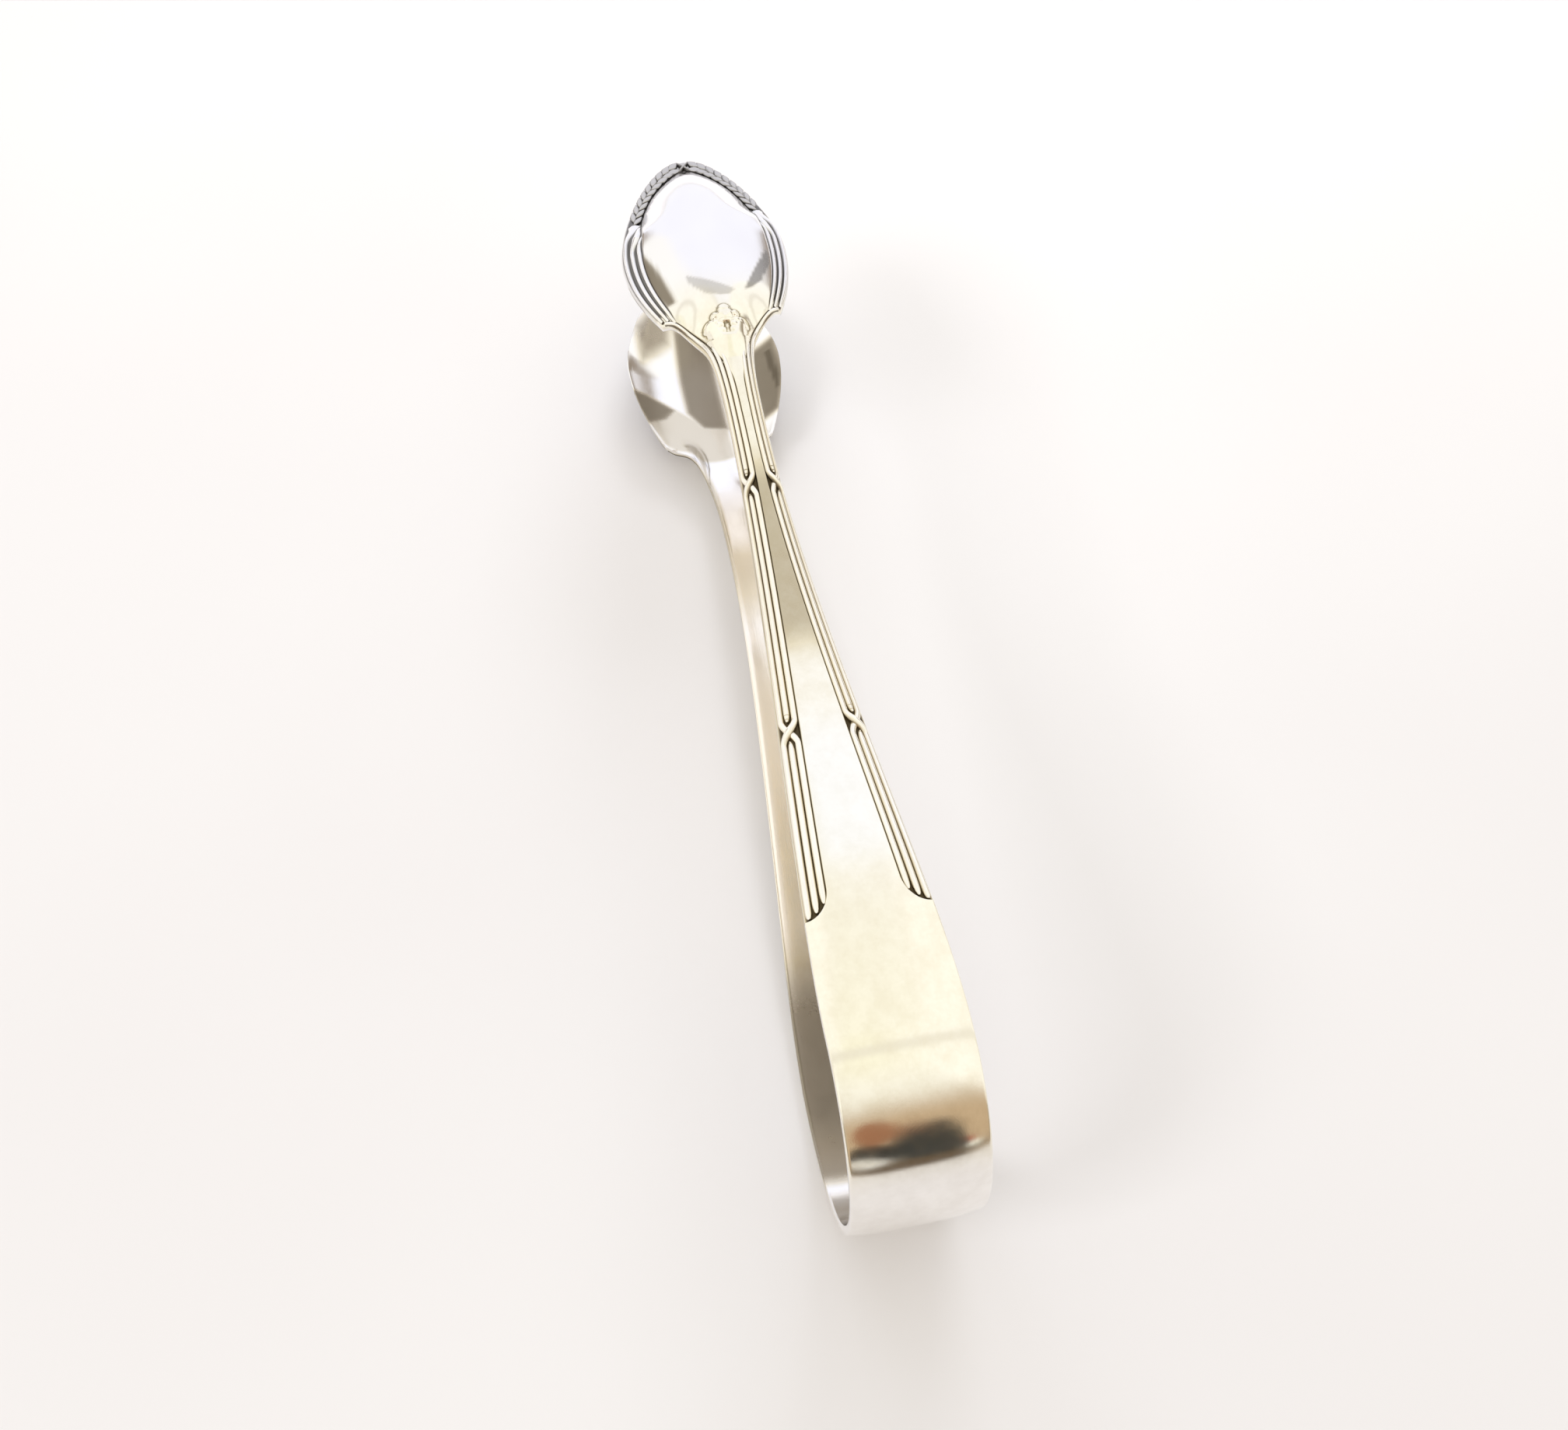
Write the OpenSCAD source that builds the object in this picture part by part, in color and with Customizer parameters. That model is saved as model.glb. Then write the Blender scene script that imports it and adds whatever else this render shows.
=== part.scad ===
// Bow-spring sugar tongs: one strip bent round at the back, with reeded arms and egg-shaped bowls.
// The tongs lie on one arm, as on a table. +X runs from the bow to the tips and +Z is up.
// The origin is at the middle of their length and width, on the surface that they lie on.

/* [Overall] */
// Length from the back of the bow to the tips
overall_length = 145; // [135:1:160]

/* [Bow] */
// Outside radius of the half-round bow
bow_radius = 17.5; // [15:0.5:20]
// Width of the band round the bow
bow_width = 15.5; // [13:0.1:18]
// Thickness of the band along its middle
bow_thickness = 1.5; // [1.2:0.1:2]
// How far the band's edges fall away from its crown
bow_edge_drop = 0.5; // [0.2:0.1:0.6]

/* [Arms] */
// Width of each arm at the neck, its narrowest place
neck_width = 4.6; // [4:0.1:5.6]
// Thickness of each arm along its middle
arm_thickness = 2.3; // [2:0.1:3]
// How far the arm's edges fall away from its crown
arm_edge_drop = 1.4; // [0.8:0.1:1.5]
// Height over both arms where they come closest together
waist_height = 28.6; // [26:0.2:34]

/* [Reeding] */
// Distance from the back of the bow to the start of the reeded edges
panel_from = 30.5; // [26:0.5:34]
// Width of a reeded edge where it starts
panel_width = 2.8; // [2:0.05:3.4]
// Width of a reeded edge at the neck
panel_width_neck = 1.75; // [1.2:0.05:1.9]
// Height of the reeds above the hollows between them
reed_height = 0.24; // [0.1:0.02:0.36]
// Depth of the groove between the reeds and the plain middle
groove_depth = 0.3; // [0.1:0.02:0.4]
// Distance from the start of the reeds to the first crossed tie
tie_run = 23.5; // [18:0.5:28]
// Distance from the neck back to the second crossed tie
tie_back = 10.5; // [7:0.5:14]
// Length of a crossed tie along the arm
tie_length = 5; // [4:0.2:6]

/* [Bowls] */
// Length of a bowl from its shoulders to its tip
bowl_length = 30; // [26:0.5:34]
// Width of a bowl over its flanges
bowl_width = 22.3; // [20:0.2:25]
// Width over the two shoulder corners
shoulder_width = 15.8; // [14:0.2:18]
// Distance from the neck to the shoulders
neck_run = 16; // [13:0.5:19]
// Thickness of a bowl's metal
bowl_thickness = 1.2; // [0.9:0.1:1.5]
// Thickness of a bowl's rim
rim_thickness = 0.9; // [0.8:0.05:1.1]
// Height from the outside of one rim to the outside of the other
rim_height = 23.4; // [20:0.2:26]
// Width of the reeded flange on each side of a bowl
flange_width = 2.5; // [2:0.1:3]
// Length of the flanges, from the shoulders forward
flange_length = 19.5; // [17:0.5:21]
// Width of the leaf border on each side of the tip
border_width = 1.6; // [1.2:0.1:1.8]
// Width of the leaf border at the very tip
tip_border = 2.5; // [2:0.1:3]
// How far the leaf border rises from the rim to the dish inside it
border_slope = 0.4; // [0.2:0.05:0.6]

/* [Palmette] */
// How far the ridge that carries the palmette falls to the palmette's sides
ridge_height = 1.45; // [1:0.05:1.8]
// How far the palmette's lobes stand out of the bowl
lobe_height = 0.4; // [0.2:0.05:0.6]
// How deep the lobes are rooted in the bowl's metal
lobe_root = 0.3; // [0.2:0.05:0.5]
// Width over the palmette's two lower lobes
palmette_width = 6; // [5:0.2:7]

/* [Hidden] */
$fn = 96;

silver = [0.86, 0.84, 0.78];
silver_worn = [0.78, 0.75, 0.68];

// Places along the length, from the back of the bow at x = 0
shoulder_at = overall_length - bowl_length;
neck_at = shoulder_at - neck_run;
tie_1_at = panel_from + tie_run;
tie_2_at = neck_at - tie_back;
widest_at = shoulder_at + 0.42*bowl_length;
flange_to = shoulder_at + flange_length;
dish_to = overall_length - tip_border;
waist_at = (bow_radius + widest_at)*0.55;
taper_run = neck_at - bow_radius;
flare_run = widest_at - shoulder_at;
tip_run = overall_length - widest_at;
flare_width = (bowl_width - shoulder_width)/2;

// Where the reeds stop before the shoulders, start again after them and give way to the leaf border
reeds_stop = shoulder_at - 1.6*flange_width;
reeds_again = shoulder_at + 0.16*flange_width;
border_from = flange_to + 0.4*flange_width;
spread_from = neck_at + 0.31*neck_run;
ridge_to = shoulder_at + 0.12*bowl_length;

// Heights from the middle plane between the arms
back_drop = 0.2;
back_z = bow_radius - back_drop;
waist_z = waist_height/2;
rim_z = rim_height/2;
dish_z = rim_z + border_slope;

// Shape of the ornament
reeds = 3;
panel_round = 3.4;
dome_power = 2.3;
border_rise = 0.3;
leaf_pitch = 2.2;
border_spread = 4;
flange_fade = 4;
field_least = 0.3;
tip_half = 0.6;
edge_chamfer = 0.15;
field_lap = 1;

function mix(a, b, t) = a + (b - a)*t;
function smooth(t) = t <= 0 ? 0 : t >= 1 ? 1 : t*t*(3 - 2*t);
function ramp(x, from, to) = smooth((x - from)/(to - from));
function span(from, to, steps) = [for (i = [0:steps - 1]) mix(from, to, i/steps)];
function bezier(a, b, c, d, u) =
    pow(1 - u, 3)*a + 3*pow(1 - u, 2)*u*b + 3*(1 - u)*u*u*c + u*u*u*d;
function curve(a, b, c, d) = [for (u = [0:0.02:0.999]) bezier(a, b, c, d, u)];

// Half-width of the strip: a taper to the neck, a hollow flare to the shoulder, then an egg
tip_edge = curve([widest_at, bowl_width/2], [widest_at + 0.345*tip_run, bowl_width/2],
                 [overall_length, 0.45*bowl_width/2], [overall_length, tip_half]);
edge_curve = concat(
    curve([bow_radius, bow_width/2], [bow_radius + 0.215*taper_run, bow_width/2],
          [neck_at - 0.319*taper_run, neck_width/2], [neck_at, neck_width/2]),
    curve([neck_at, neck_width/2], [shoulder_at - 0.47*neck_run, neck_width/2],
          [shoulder_at - 0.125*neck_run, 0.18*shoulder_width], [shoulder_at, shoulder_width/2]),
    curve([shoulder_at, shoulder_width/2],
          [shoulder_at + 0.24*flare_run, shoulder_width/2 + 0.46*flare_width],
          [widest_at - 0.4*flare_run, bowl_width/2], [widest_at, bowl_width/2]),
    tip_edge,
    [[overall_length, tip_half]]);
function half_width(x) = lookup(x, edge_curve);

// How far the outline slants, as the length of edge for each unit of length
function edge_stretch(x) =
    let (a = max(bow_radius, x - 0.1), b = min(overall_length, x + 0.1))
    sqrt(1 + pow((half_width(b) - half_width(a))/(b - a), 2));

// Height of the crown, the line along the middle of the outer face
function crown(x) =
    x < waist_at ? mix(bow_radius, waist_z, ramp(x, bow_radius, waist_at)) :
    x < widest_at ? mix(waist_z, back_z, ramp(x, waist_at, widest_at)) :
    x < dish_to ? mix(back_z, dish_z, pow((x - widest_at)/(dish_to - widest_at), dome_power)) :
    mix(dish_z, rim_z, (x - dish_to)/tip_border);

// How far the outer face falls from its crown: the rounded arm spreads into the bowl's even curve,
// and the ridge that carries the palmette dies away into the bowl
function arm_drop(x) = mix(bow_edge_drop, arm_edge_drop, ramp(x, bow_radius, tie_1_at));
function bowl_drop(x) = mix(arm_drop(x), crown(x) - rim_z, ramp(x, spread_from, widest_at));
bowl_curve = bowl_drop(shoulder_at)/pow(shoulder_width/2, 2);
function bowl_fall(x, y) = y*y*(x < shoulder_at ? bowl_curve : bowl_drop(x)/pow(half_width(x), 2));
function spread(x) = ramp(x, spread_from, reeds_stop);
function plain_fall(x, q) = mix(arm_drop(x)*pow(q, 3), bowl_fall(x, q*half_width(x)), spread(x));
function ridge_fall(x, q) =
    let (y = abs(q)*half_width(x))
    spread(x)*ridge_height*pow(2*y/palmette_width, 2)
    *(1 - ramp(y, palmette_width/2, 0.45*shoulder_width))*(1 - ramp(x, reeds_stop, ridge_to));

// Thickness along the middle, and how far the inner face falls to its edges
function thickness(x) =
    x > flange_to ? mix(bowl_thickness, rim_thickness, ramp(x, flange_to, dish_to)) :
    mix(mix(bow_thickness, arm_thickness, ramp(x, bow_radius, tie_1_at)),
        bowl_thickness, ramp(x, neck_at + 0.25*neck_run, shoulder_at + 0.1*bowl_length));
function inner_drop(x) =
    max(0, plain_fall(x, 1) - thickness(x) + rim_thickness)*ramp(x, neck_at, shoulder_at);

// Width of the ornamented edge along the arm, the flange and the tip
function trim_width(x) =
    x < neck_at ? mix(panel_width, panel_width_neck, max(0, (x - panel_from)/(neck_at - panel_from))) :
    x < flange_to ? mix(panel_width_neck, flange_width, ramp(x, reeds_stop, reeds_again)) :
    x < dish_to - border_spread ? mix(flange_width, border_width, ramp(x, flange_to, border_from)) :
    mix(border_width, tip_border, ramp(x, dish_to - border_spread, overall_length));

// Half-width of the plain middle: the outline moved inwards by the width of the trim
function inwards(a, b) = [b[1] - a[1], a[0] - b[0]]/norm(b - a);
field_edge = concat(
    [for (i = [1:len(tip_edge) - 2])
        tip_edge[i] + trim_width(tip_edge[i][0])*inwards(tip_edge[i - 1], tip_edge[i + 1])],
    [[dish_to, 0]]);
function field_half(x) =
    x < widest_at + field_lap ? max(0, half_width(x) - trim_width(x)*edge_stretch(x)) :
    x < dish_to ? lookup(x, field_edge) : 0;
function field_share(x) = field_half(x)/half_width(x);

// The strip's faces, q across from 0 at the crown to 1 at the edge: crowned outside, flat or hollow inside
function strip_outer(x, q) = crown(x) - plain_fall(x, q) - ridge_fall(x, q);
function strip_inner(x, q) = crown(x) - thickness(x) - inner_drop(x)*q*q - ridge_fall(x, q);

// The tip's faces: a dish, and round it the leaf border that slopes gently to the rim
function tip_outer(x, q) =
    let (f = field_share(x))
    q < f ? mix(crown(x), dish_z, pow(q/f, 2)) :
    mix(min(crown(x), dish_z), rim_z, (q - f)/(1 - f));
function tip_inner(x, q) =
    let (f = field_share(x))
    q < f ? mix(crown(x) - thickness(x), dish_z - rim_thickness, pow(q/f, 2)) :
    tip_outer(x, q) - rim_thickness;

// Outer and inner faces without ornament, where the flange runs over into the tip
function tip_blend(x) = ramp(x, flange_to - flange_fade, border_from);
function outer_z(x, q) = mix(strip_outer(x, abs(q)), tip_outer(x, abs(q)), tip_blend(x));
function inner_z(x, q) = mix(strip_inner(x, abs(q)), tip_inner(x, abs(q)), tip_blend(x));

// A round strand one third of the trim wide, and the strands at a station: the outer two
// change places at each tie, over the middle one
function strand(offset) = reed_height*sqrt(max(0, 1 - pow(2*reeds*offset, 2)));
function tie_turn(x, at) = (x - at)/(tie_length/2);
function crossing(p, u) =
    let (side = mix(0.5/reeds, 1 - 0.5/reeds, smooth((u + 1)/2)))
    max(strand(p - side), strand(p - 1 + side), abs(u) > 0.55 ? strand(p - 0.5) : 0);
function reeding(x, p) =
    let (u = abs(tie_turn(x, tie_1_at)) < 1 ? tie_turn(x, tie_1_at) :
             abs(tie_turn(x, tie_2_at)) < 1 ? tie_turn(x, tie_2_at) : -1)
    crossing(p, u);

// Where the reeded panel ends towards the bow its inner line rounds off to the edge
function panel_reach(x) =
    x <= panel_from ? 0 :
    x >= panel_from + panel_round ? 1 :
    sqrt(1 - pow((panel_from + panel_round - x)/panel_round, 2));
function leaf(x, p) =
    border_rise*sqrt(max(0, 1 - pow(2*p - 1, 2)))*(0.7 + 0.3*cos(360*(overall_length - x)/leaf_pitch));
function tip_reach(x) = min(1, (overall_length - x)/tip_border);
function field_relief(x) = x > dish_to ? leaf(x, tip_reach(x)) : 0;
function has_reeds(x) =
    x > panel_from && (x < reeds_stop || x > reeds_again) && x < flange_to;

// Height of the ornament, p across from 0 at the edge to 1 at the inner line of the trim
function relief(x, p) =
    p >= panel_reach(x) - 0.001 ? (p < panel_reach(x) + 0.05 && x > panel_from ? -groove_depth : 0) :
    has_reeds(x) ? reeding(x, p) - reed_height/2 :
    x >= flange_to ? leaf(x, p) : 0;

// Section of the strip at a station, as [y, z] points: outer face left to right, inner face back
trim_p = [for (k = [0:3*reeds]) k/(3*reeds)];
field_p = 1.12;
field_steps = [0.66, 0.33];
inner_count = 7;
function inner_q(x) =
    let (f = max(field_least, field_share(x)))
    [-1, -f, -f/2, 0, f/2, f, 1];
function trim_y(x, p, k) =
    max(mix(half_width(x), field_half(x), p), half_width(x)*(1 - 0.08*k));
function half_outer(x) =
    let (w = half_width(x), inner_y = trim_y(x, field_p, 3*reeds + 1))
    concat(
        [for (k = [0:len(trim_p) - 1])
            let (y = trim_y(x, trim_p[k], k))
            [y, outer_z(x, y/w) + relief(x, trim_p[k]*tip_reach(x))]],
        [[inner_y, outer_z(x, inner_y/w) + field_relief(x)]],
        [for (f = field_steps) [f*inner_y, outer_z(x, f*inner_y/w) + field_relief(x)]]);
function section(x) =
    let (half = half_outer(x), n = len(half), w = half_width(x) - edge_chamfer)
    concat(
        half,
        [[0, crown(x) + field_relief(x)]],
        [for (k = [n - 1:-1:0]) [-half[k][0], half[k][1]]],
        [for (q = inner_q(x)) [q*w, inner_z(x, q)]]);

// Stations along an arm and along a bowl, closer together where the ornament changes
arm_x = concat(
    span(bow_radius, panel_from, 4),
    span(panel_from, panel_from + panel_round, 6),
    span(panel_from + panel_round, tie_1_at - tie_length/2, 4),
    span(tie_1_at - tie_length/2, tie_1_at + tie_length/2, 12),
    span(tie_1_at + tie_length/2, tie_2_at - tie_length/2, 7),
    span(tie_2_at - tie_length/2, tie_2_at + tie_length/2, 12),
    span(tie_2_at + tie_length/2, neck_at, 2),
    [neck_at]);
bowl_x = concat(
    span(neck_at, reeds_stop, 5),
    span(reeds_stop, reeds_again, 9),
    span(reeds_again, flange_to, 10),
    [for (i = [0:14]) mix(flange_to, overall_length, sin(90*i/14))]);

// The inner face's point below a point of the outer face, and the triangles that close an end
function below(j, n) = n - 1 - floor((inner_count - 1)*j/(n - inner_count - 1));
function end_faces(n) = [
    for (j = [0:n - inner_count - 2])
        let (a = below(j, n), b = below(j + 1, n))
        each a == b ? [[j, j + 1, a]] : [[j, j + 1, a], [j + 1, b, a]]];

// A solid lofted through sections at the given stations
module loft(stations) {
    n = len(section(stations[0]));
    last = len(stations) - 1;
    points = [for (x = stations) for (p = section(x)) [x, p[0], p[1]]];
    sides = [for (i = [0:last - 1]) for (j = [0:n - 1])
        let (a = i*n + j, b = i*n + (j + 1) % n)
        each [[a, a + n, b + n], [a, b + n, b]]];
    far_end = [for (f = end_faces(n)) [last*n + f[2], last*n + f[1], last*n + f[0]]];
    polyhedron(points, concat(sides, end_faces(n), far_end));
}

// One bead of the palmette, rooted in the outer face. The palmette's half-width is the unit of
// its place, forward of the shoulders and across, and of its radius
module bead(p) {
    unit = palmette_width/2;
    at = shoulder_at + p[0]*unit;
    y = p[1]*unit;
    translate([at, y, outer_z(at, y/half_width(at)) - lobe_root])
        scale([p[2]*unit, p[2]*unit, lobe_height + lobe_root])
            sphere(1, $fn = 14);
}

// A lobe is a run of two beads
module lobe(from, to) {
    hull() {
        bead(from);
        bead(to);
    }
}

// A trefoil above, two heart-shaped lobes below it, and the stem they grow from
module palmette() {
    lobe([-0.42, 0, 0.29], [-1.1, 0, 0.12]);
    for (side = [-1, 1]) {
        lobe([-0.57, 0.46*side, 0.18], [-0.9, 0.2*side, 0.14]);
        lobe([-0.95, 0.77*side, 0.23], [-1.17, 0.57*side, 0.27]);
        lobe([-1.15, 0.32*side, 0.21], [-1.87, 0.3*side, 0.33]);
        lobe([-1.17, 0.57*side, 0.27], [-1.87, 0.3*side, 0.33]);
    }
    lobe([-3.67, 0, 0.2], [-2.4, 0, 0.33]);
    lobe([-2.4, 0, 0.33], [-1.6, 0, 0.5]);
}

// From the frame of the length and the middle plane to the part's own frame
module lie_down() {
    translate([-overall_length/2, 0, bow_radius])
        children();
}

module bow_band() {
    translate([bow_radius, 0, 0])
        rotate([90, 0, 0])
            rotate([0, 0, 90])
                rotate_extrude(angle = 180)
                    polygon([for (p = section(bow_radius)) [p[1], -p[0]]]);
}

module arm_strip() {
    loft(arm_x);
}

module bowl_dish() {
    loft(bowl_x);
    palmette();
}

module lower() {
    mirror([0, 0, 1])
        children();
}

module spring_bow() {
    color(silver) lie_down() bow_band();
}

module upper_arm() {
    color(silver) lie_down() arm_strip();
}

module lower_arm() {
    color(silver_worn) lie_down() lower() arm_strip();
}

module upper_bowl() {
    color(silver) lie_down() bowl_dish();
}

module lower_bowl() {
    color(silver_worn) lie_down() lower() bowl_dish();
}

spring_bow();
upper_arm();
lower_arm();
upper_bowl();
lower_bowl();
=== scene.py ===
# %% [markdown]
# These are sugar tongs: one strip of silver-plated metal, bent round at the back into a springy bow.
# Each arm carries reeded edges with crossed ties and ends in an egg-shaped bowl.
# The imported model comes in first, as a fixed frame, and every new piece is built where its solid is.

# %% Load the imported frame
import math

import bpy
import numpy as np
from mathutils import Matrix, Vector


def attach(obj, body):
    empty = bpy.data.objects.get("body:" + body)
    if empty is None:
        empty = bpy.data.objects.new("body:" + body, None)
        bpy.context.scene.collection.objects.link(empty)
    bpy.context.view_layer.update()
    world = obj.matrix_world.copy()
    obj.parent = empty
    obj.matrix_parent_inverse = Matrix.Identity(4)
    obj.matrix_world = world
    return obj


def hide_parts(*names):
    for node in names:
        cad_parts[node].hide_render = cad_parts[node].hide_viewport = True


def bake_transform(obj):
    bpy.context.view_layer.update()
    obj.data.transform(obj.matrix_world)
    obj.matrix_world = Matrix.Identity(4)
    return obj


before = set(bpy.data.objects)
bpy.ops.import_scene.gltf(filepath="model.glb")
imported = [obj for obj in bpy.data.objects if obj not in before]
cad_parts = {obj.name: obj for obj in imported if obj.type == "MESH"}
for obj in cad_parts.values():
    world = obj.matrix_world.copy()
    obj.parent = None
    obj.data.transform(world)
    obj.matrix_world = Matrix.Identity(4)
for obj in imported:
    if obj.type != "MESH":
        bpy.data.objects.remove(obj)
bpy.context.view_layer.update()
bpy.ops.object.select_all(action="DESELECT")

# %% [markdown]
# The sizes are those of the solids, in millimetres, measured from the back of the bow (x) and from
# the middle plane between the arms (z). Working like this keeps the numbers readable.
# Two helpers turn such points into the frame's metres, where the tongs lie on the floor, and back.

# %% Sizes
MM = 0.001
LENGTH = 145.0
BOW_RADIUS = 17.5
BOW_WIDTH = 15.5
NECK_WIDTH = 4.6
SHOULDER_WIDTH = 15.8
BOWL_WIDTH = 22.3
PANEL_FROM = 30.5
PANEL_ROUND = 3.4
TIE_AT = (54.0, 88.5)
TIE_LENGTH = 3.3
NECK_AT = 99.0
SHOULDER_AT = 115.0
WIDEST_AT = 127.6
WAIST_AT = (BOW_RADIUS + WIDEST_AT)*0.55
FLANGE_TO = 134.5
TIP_BORDER = 2.5
DISH_TO = LENGTH - TIP_BORDER
RIM_Z = 11.7
RIM_THICKNESS = 0.9
DISH_Z = RIM_Z + 0.4
TIP_HALF = 0.6
PALMETTE_WIDTH = 6.0
WAIST_Z = 14.3
BOWL_Z = 17.3
REED_SPAN = (2.8, 1.75)
FLARE_TRIM = 0.62


def to_frame(points):
    """Millimetres from the bow's back and the middle plane, as metres in the frame."""
    return (np.asarray(points, float) + [-LENGTH/2, 0, BOW_RADIUS])*MM


def from_frame(points):
    """The other way round: metres in the frame, as millimetres from the bow's back."""
    return points/MM - [-LENGTH/2, 0, BOW_RADIUS]


print("bow back in the frame", to_frame([0, 0, 0]).round(4))

# %% [markdown]
# The outline of an arm is a taper to the neck, a hollow flare to the shoulder and then an egg.
# Four smooth curves joined end to end draw it, as a draughtsman would with a French curve.


# %% Outline
def mix(a, b, t):
    return a + (b - a)*t


def smooth(t):
    t = np.clip(t, 0, 1)
    return t*t*(3 - 2*t)


def ramp(x, a, b):
    return smooth((x - a)/(b - a))


def bezier(a, b, c, d, steps=160):
    u = np.linspace(0, 1, steps)[:, None]
    a, b, c, d = (np.array(p, float) for p in (a, b, c, d))
    return (1 - u)**3*a + 3*(1 - u)**2*u*b + 3*(1 - u)*u*u*c + u**3*d


TAPER_RUN, NECK_RUN = NECK_AT - BOW_RADIUS, SHOULDER_AT - NECK_AT
FLARE_RUN, TIP_RUN = WIDEST_AT - SHOULDER_AT, LENGTH - WIDEST_AT
FLARE_WIDTH = (BOWL_WIDTH - SHOULDER_WIDTH)/2
ARM_LINE = np.vstack([
    bezier((BOW_RADIUS, BOW_WIDTH/2), (BOW_RADIUS + 0.215*TAPER_RUN, BOW_WIDTH/2),
           (NECK_AT - 0.319*TAPER_RUN, NECK_WIDTH/2), (NECK_AT, NECK_WIDTH/2)),
    bezier((NECK_AT, NECK_WIDTH/2), (SHOULDER_AT - 0.47*NECK_RUN, NECK_WIDTH/2),
           (SHOULDER_AT - 0.125*NECK_RUN, 0.18*SHOULDER_WIDTH), (SHOULDER_AT, SHOULDER_WIDTH/2))[1:]])
EGG_LINE = np.vstack([
    bezier((SHOULDER_AT, SHOULDER_WIDTH/2),
           (SHOULDER_AT + 0.24*FLARE_RUN, SHOULDER_WIDTH/2 + 0.46*FLARE_WIDTH),
           (WIDEST_AT - 0.4*FLARE_RUN, BOWL_WIDTH/2), (WIDEST_AT, BOWL_WIDTH/2)),
    bezier((WIDEST_AT, BOWL_WIDTH/2), (WIDEST_AT + 0.345*TIP_RUN, BOWL_WIDTH/2),
           (LENGTH, 0.45*BOWL_WIDTH/2), (LENGTH, TIP_HALF))[1:]])
OUTLINE = np.vstack([ARM_LINE, EGG_LINE[1:]])


def half_width(x):
    return np.interp(x, OUTLINE[:, 0], OUTLINE[:, 1])


def inward(line):
    """The unit direction from a line of the outline towards the middle of the strip."""
    along = np.gradient(line, axis=0)
    along /= np.linalg.norm(along, axis=1)[:, None] + 1e-12
    return np.stack([along[:, 1], -along[:, 0]], 1)


print("half-widths", half_width([17.5, 54, 99, 115, 127.6, 144]).round(2))

# %% [markdown]
# The ornament lies in a shallow channel along each edge, and the plain middle field stops at the
# channel's inner line. That line is the outline moved inwards by the width of the trim: three reeds
# on the arm, one along the flare under the palmette, three on the flange, a leaf border at the tip.


# %% Inner line of the trim
def reed_span(x):
    """The plan distance from the edge to the inner side of an arm's three reeds."""
    return mix(*REED_SPAN, np.clip((x - PANEL_FROM)/(NECK_AT - PANEL_FROM), 0, 1))


def arm_trim(x):
    return mix(reed_span(x), FLARE_TRIM, ramp(x, 103, 110))


def egg_trim(x):
    side = mix(1.65, 2.75, np.clip((x - SHOULDER_AT)/12.5, 0, 1)**0.8)
    side = mix(side, 1.9, ramp(x, FLANGE_TO - 4, FLANGE_TO + 2))
    return mix(side, TIP_BORDER, ramp(x, DISH_TO - 4, LENGTH))


ARM_INNER = ARM_LINE + inward(ARM_LINE)*arm_trim(ARM_LINE[:, 0])[:, None]
EGG_INNER = EGG_LINE + inward(EGG_LINE)*egg_trim(EGG_LINE[:, 0])[:, None]
EGG_INNER = np.vstack([EGG_INNER, [DISH_TO + 0.01, 0]])
EGG_INNER = EGG_INNER[np.concatenate([[True], np.diff(np.maximum.accumulate(EGG_INNER[:, 0])) > 0])]


def inner_line(x):
    along_arm = np.interp(x, ARM_INNER[:, 0], ARM_INNER[:, 1], right=99)
    first, second = EGG_INNER[0], EGG_INNER[6]
    slant = (second[1] - first[1])/(second[0] - first[0])
    along_egg = np.interp(x, EGG_INNER[:, 0], EGG_INNER[:, 1], right=0)
    before = np.where(x > SHOULDER_AT - 3, first[1] - slant*(first[0] - x), 99)
    along_egg = np.where(x < first[0], before, along_egg)
    return np.minimum(along_arm, along_egg)


def panel_reach(x):
    return np.sqrt(np.clip(1 - ((PANEL_FROM + PANEL_ROUND - x)/PANEL_ROUND).clip(0, 1)**2, 0, 1))


print("field half-widths", inner_line(np.array([40, 70, 99, 108, 117, 132, 142.4])).round(2))

# %% [markdown]
# The outer face is crowned: highest along the middle and lower at its edges. The inner face of an
# arm is flat, and that of a bowl is hollow. Round the tip the dish stops at a flat border that slopes
# gently to the rim. These few functions give any point of both faces.


# %% Crown and fall
def crown(x):
    back = mix(BOW_RADIUS, WAIST_Z, ramp(x, BOW_RADIUS, WAIST_AT))
    front = mix(WAIST_Z, BOWL_Z, ramp(x, WAIST_AT, WIDEST_AT))
    egg = mix(BOWL_Z, DISH_Z, np.clip((x - WIDEST_AT)/(DISH_TO - WIDEST_AT), 0, 1)**2.3)
    egg = np.where(x < DISH_TO, egg, mix(DISH_Z, RIM_Z, np.clip((x - DISH_TO)/TIP_BORDER, 0, 1)))
    return np.where(x < WAIST_AT, back, np.where(x < WIDEST_AT, front, egg))


SPREAD_FROM = NECK_AT + 0.31*NECK_RUN
RIDGE_RISE = 1.45


def arm_drop(x):
    return mix(0.5, 1.4, ramp(x, BOW_RADIUS, TIE_AT[0]))


def bowl_drop(x):
    return mix(arm_drop(x), crown(x) - RIM_Z, ramp(x, SPREAD_FROM, WIDEST_AT))


def spread(x):
    return ramp(x, SPREAD_FROM, SHOULDER_AT - 4)


def plain_fall(x, y):
    """How far the outer face falls from its crown: the rounded arm spreads into the bowl's even curve."""
    w = half_width(x)
    bowl_curve = np.where(x < SHOULDER_AT, bowl_drop(SHOULDER_AT)/(SHOULDER_WIDTH/2)**2, bowl_drop(x)/w**2)
    return mix(arm_drop(x)*(np.abs(y)/w)**3, bowl_curve*y*y, spread(x))


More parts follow.
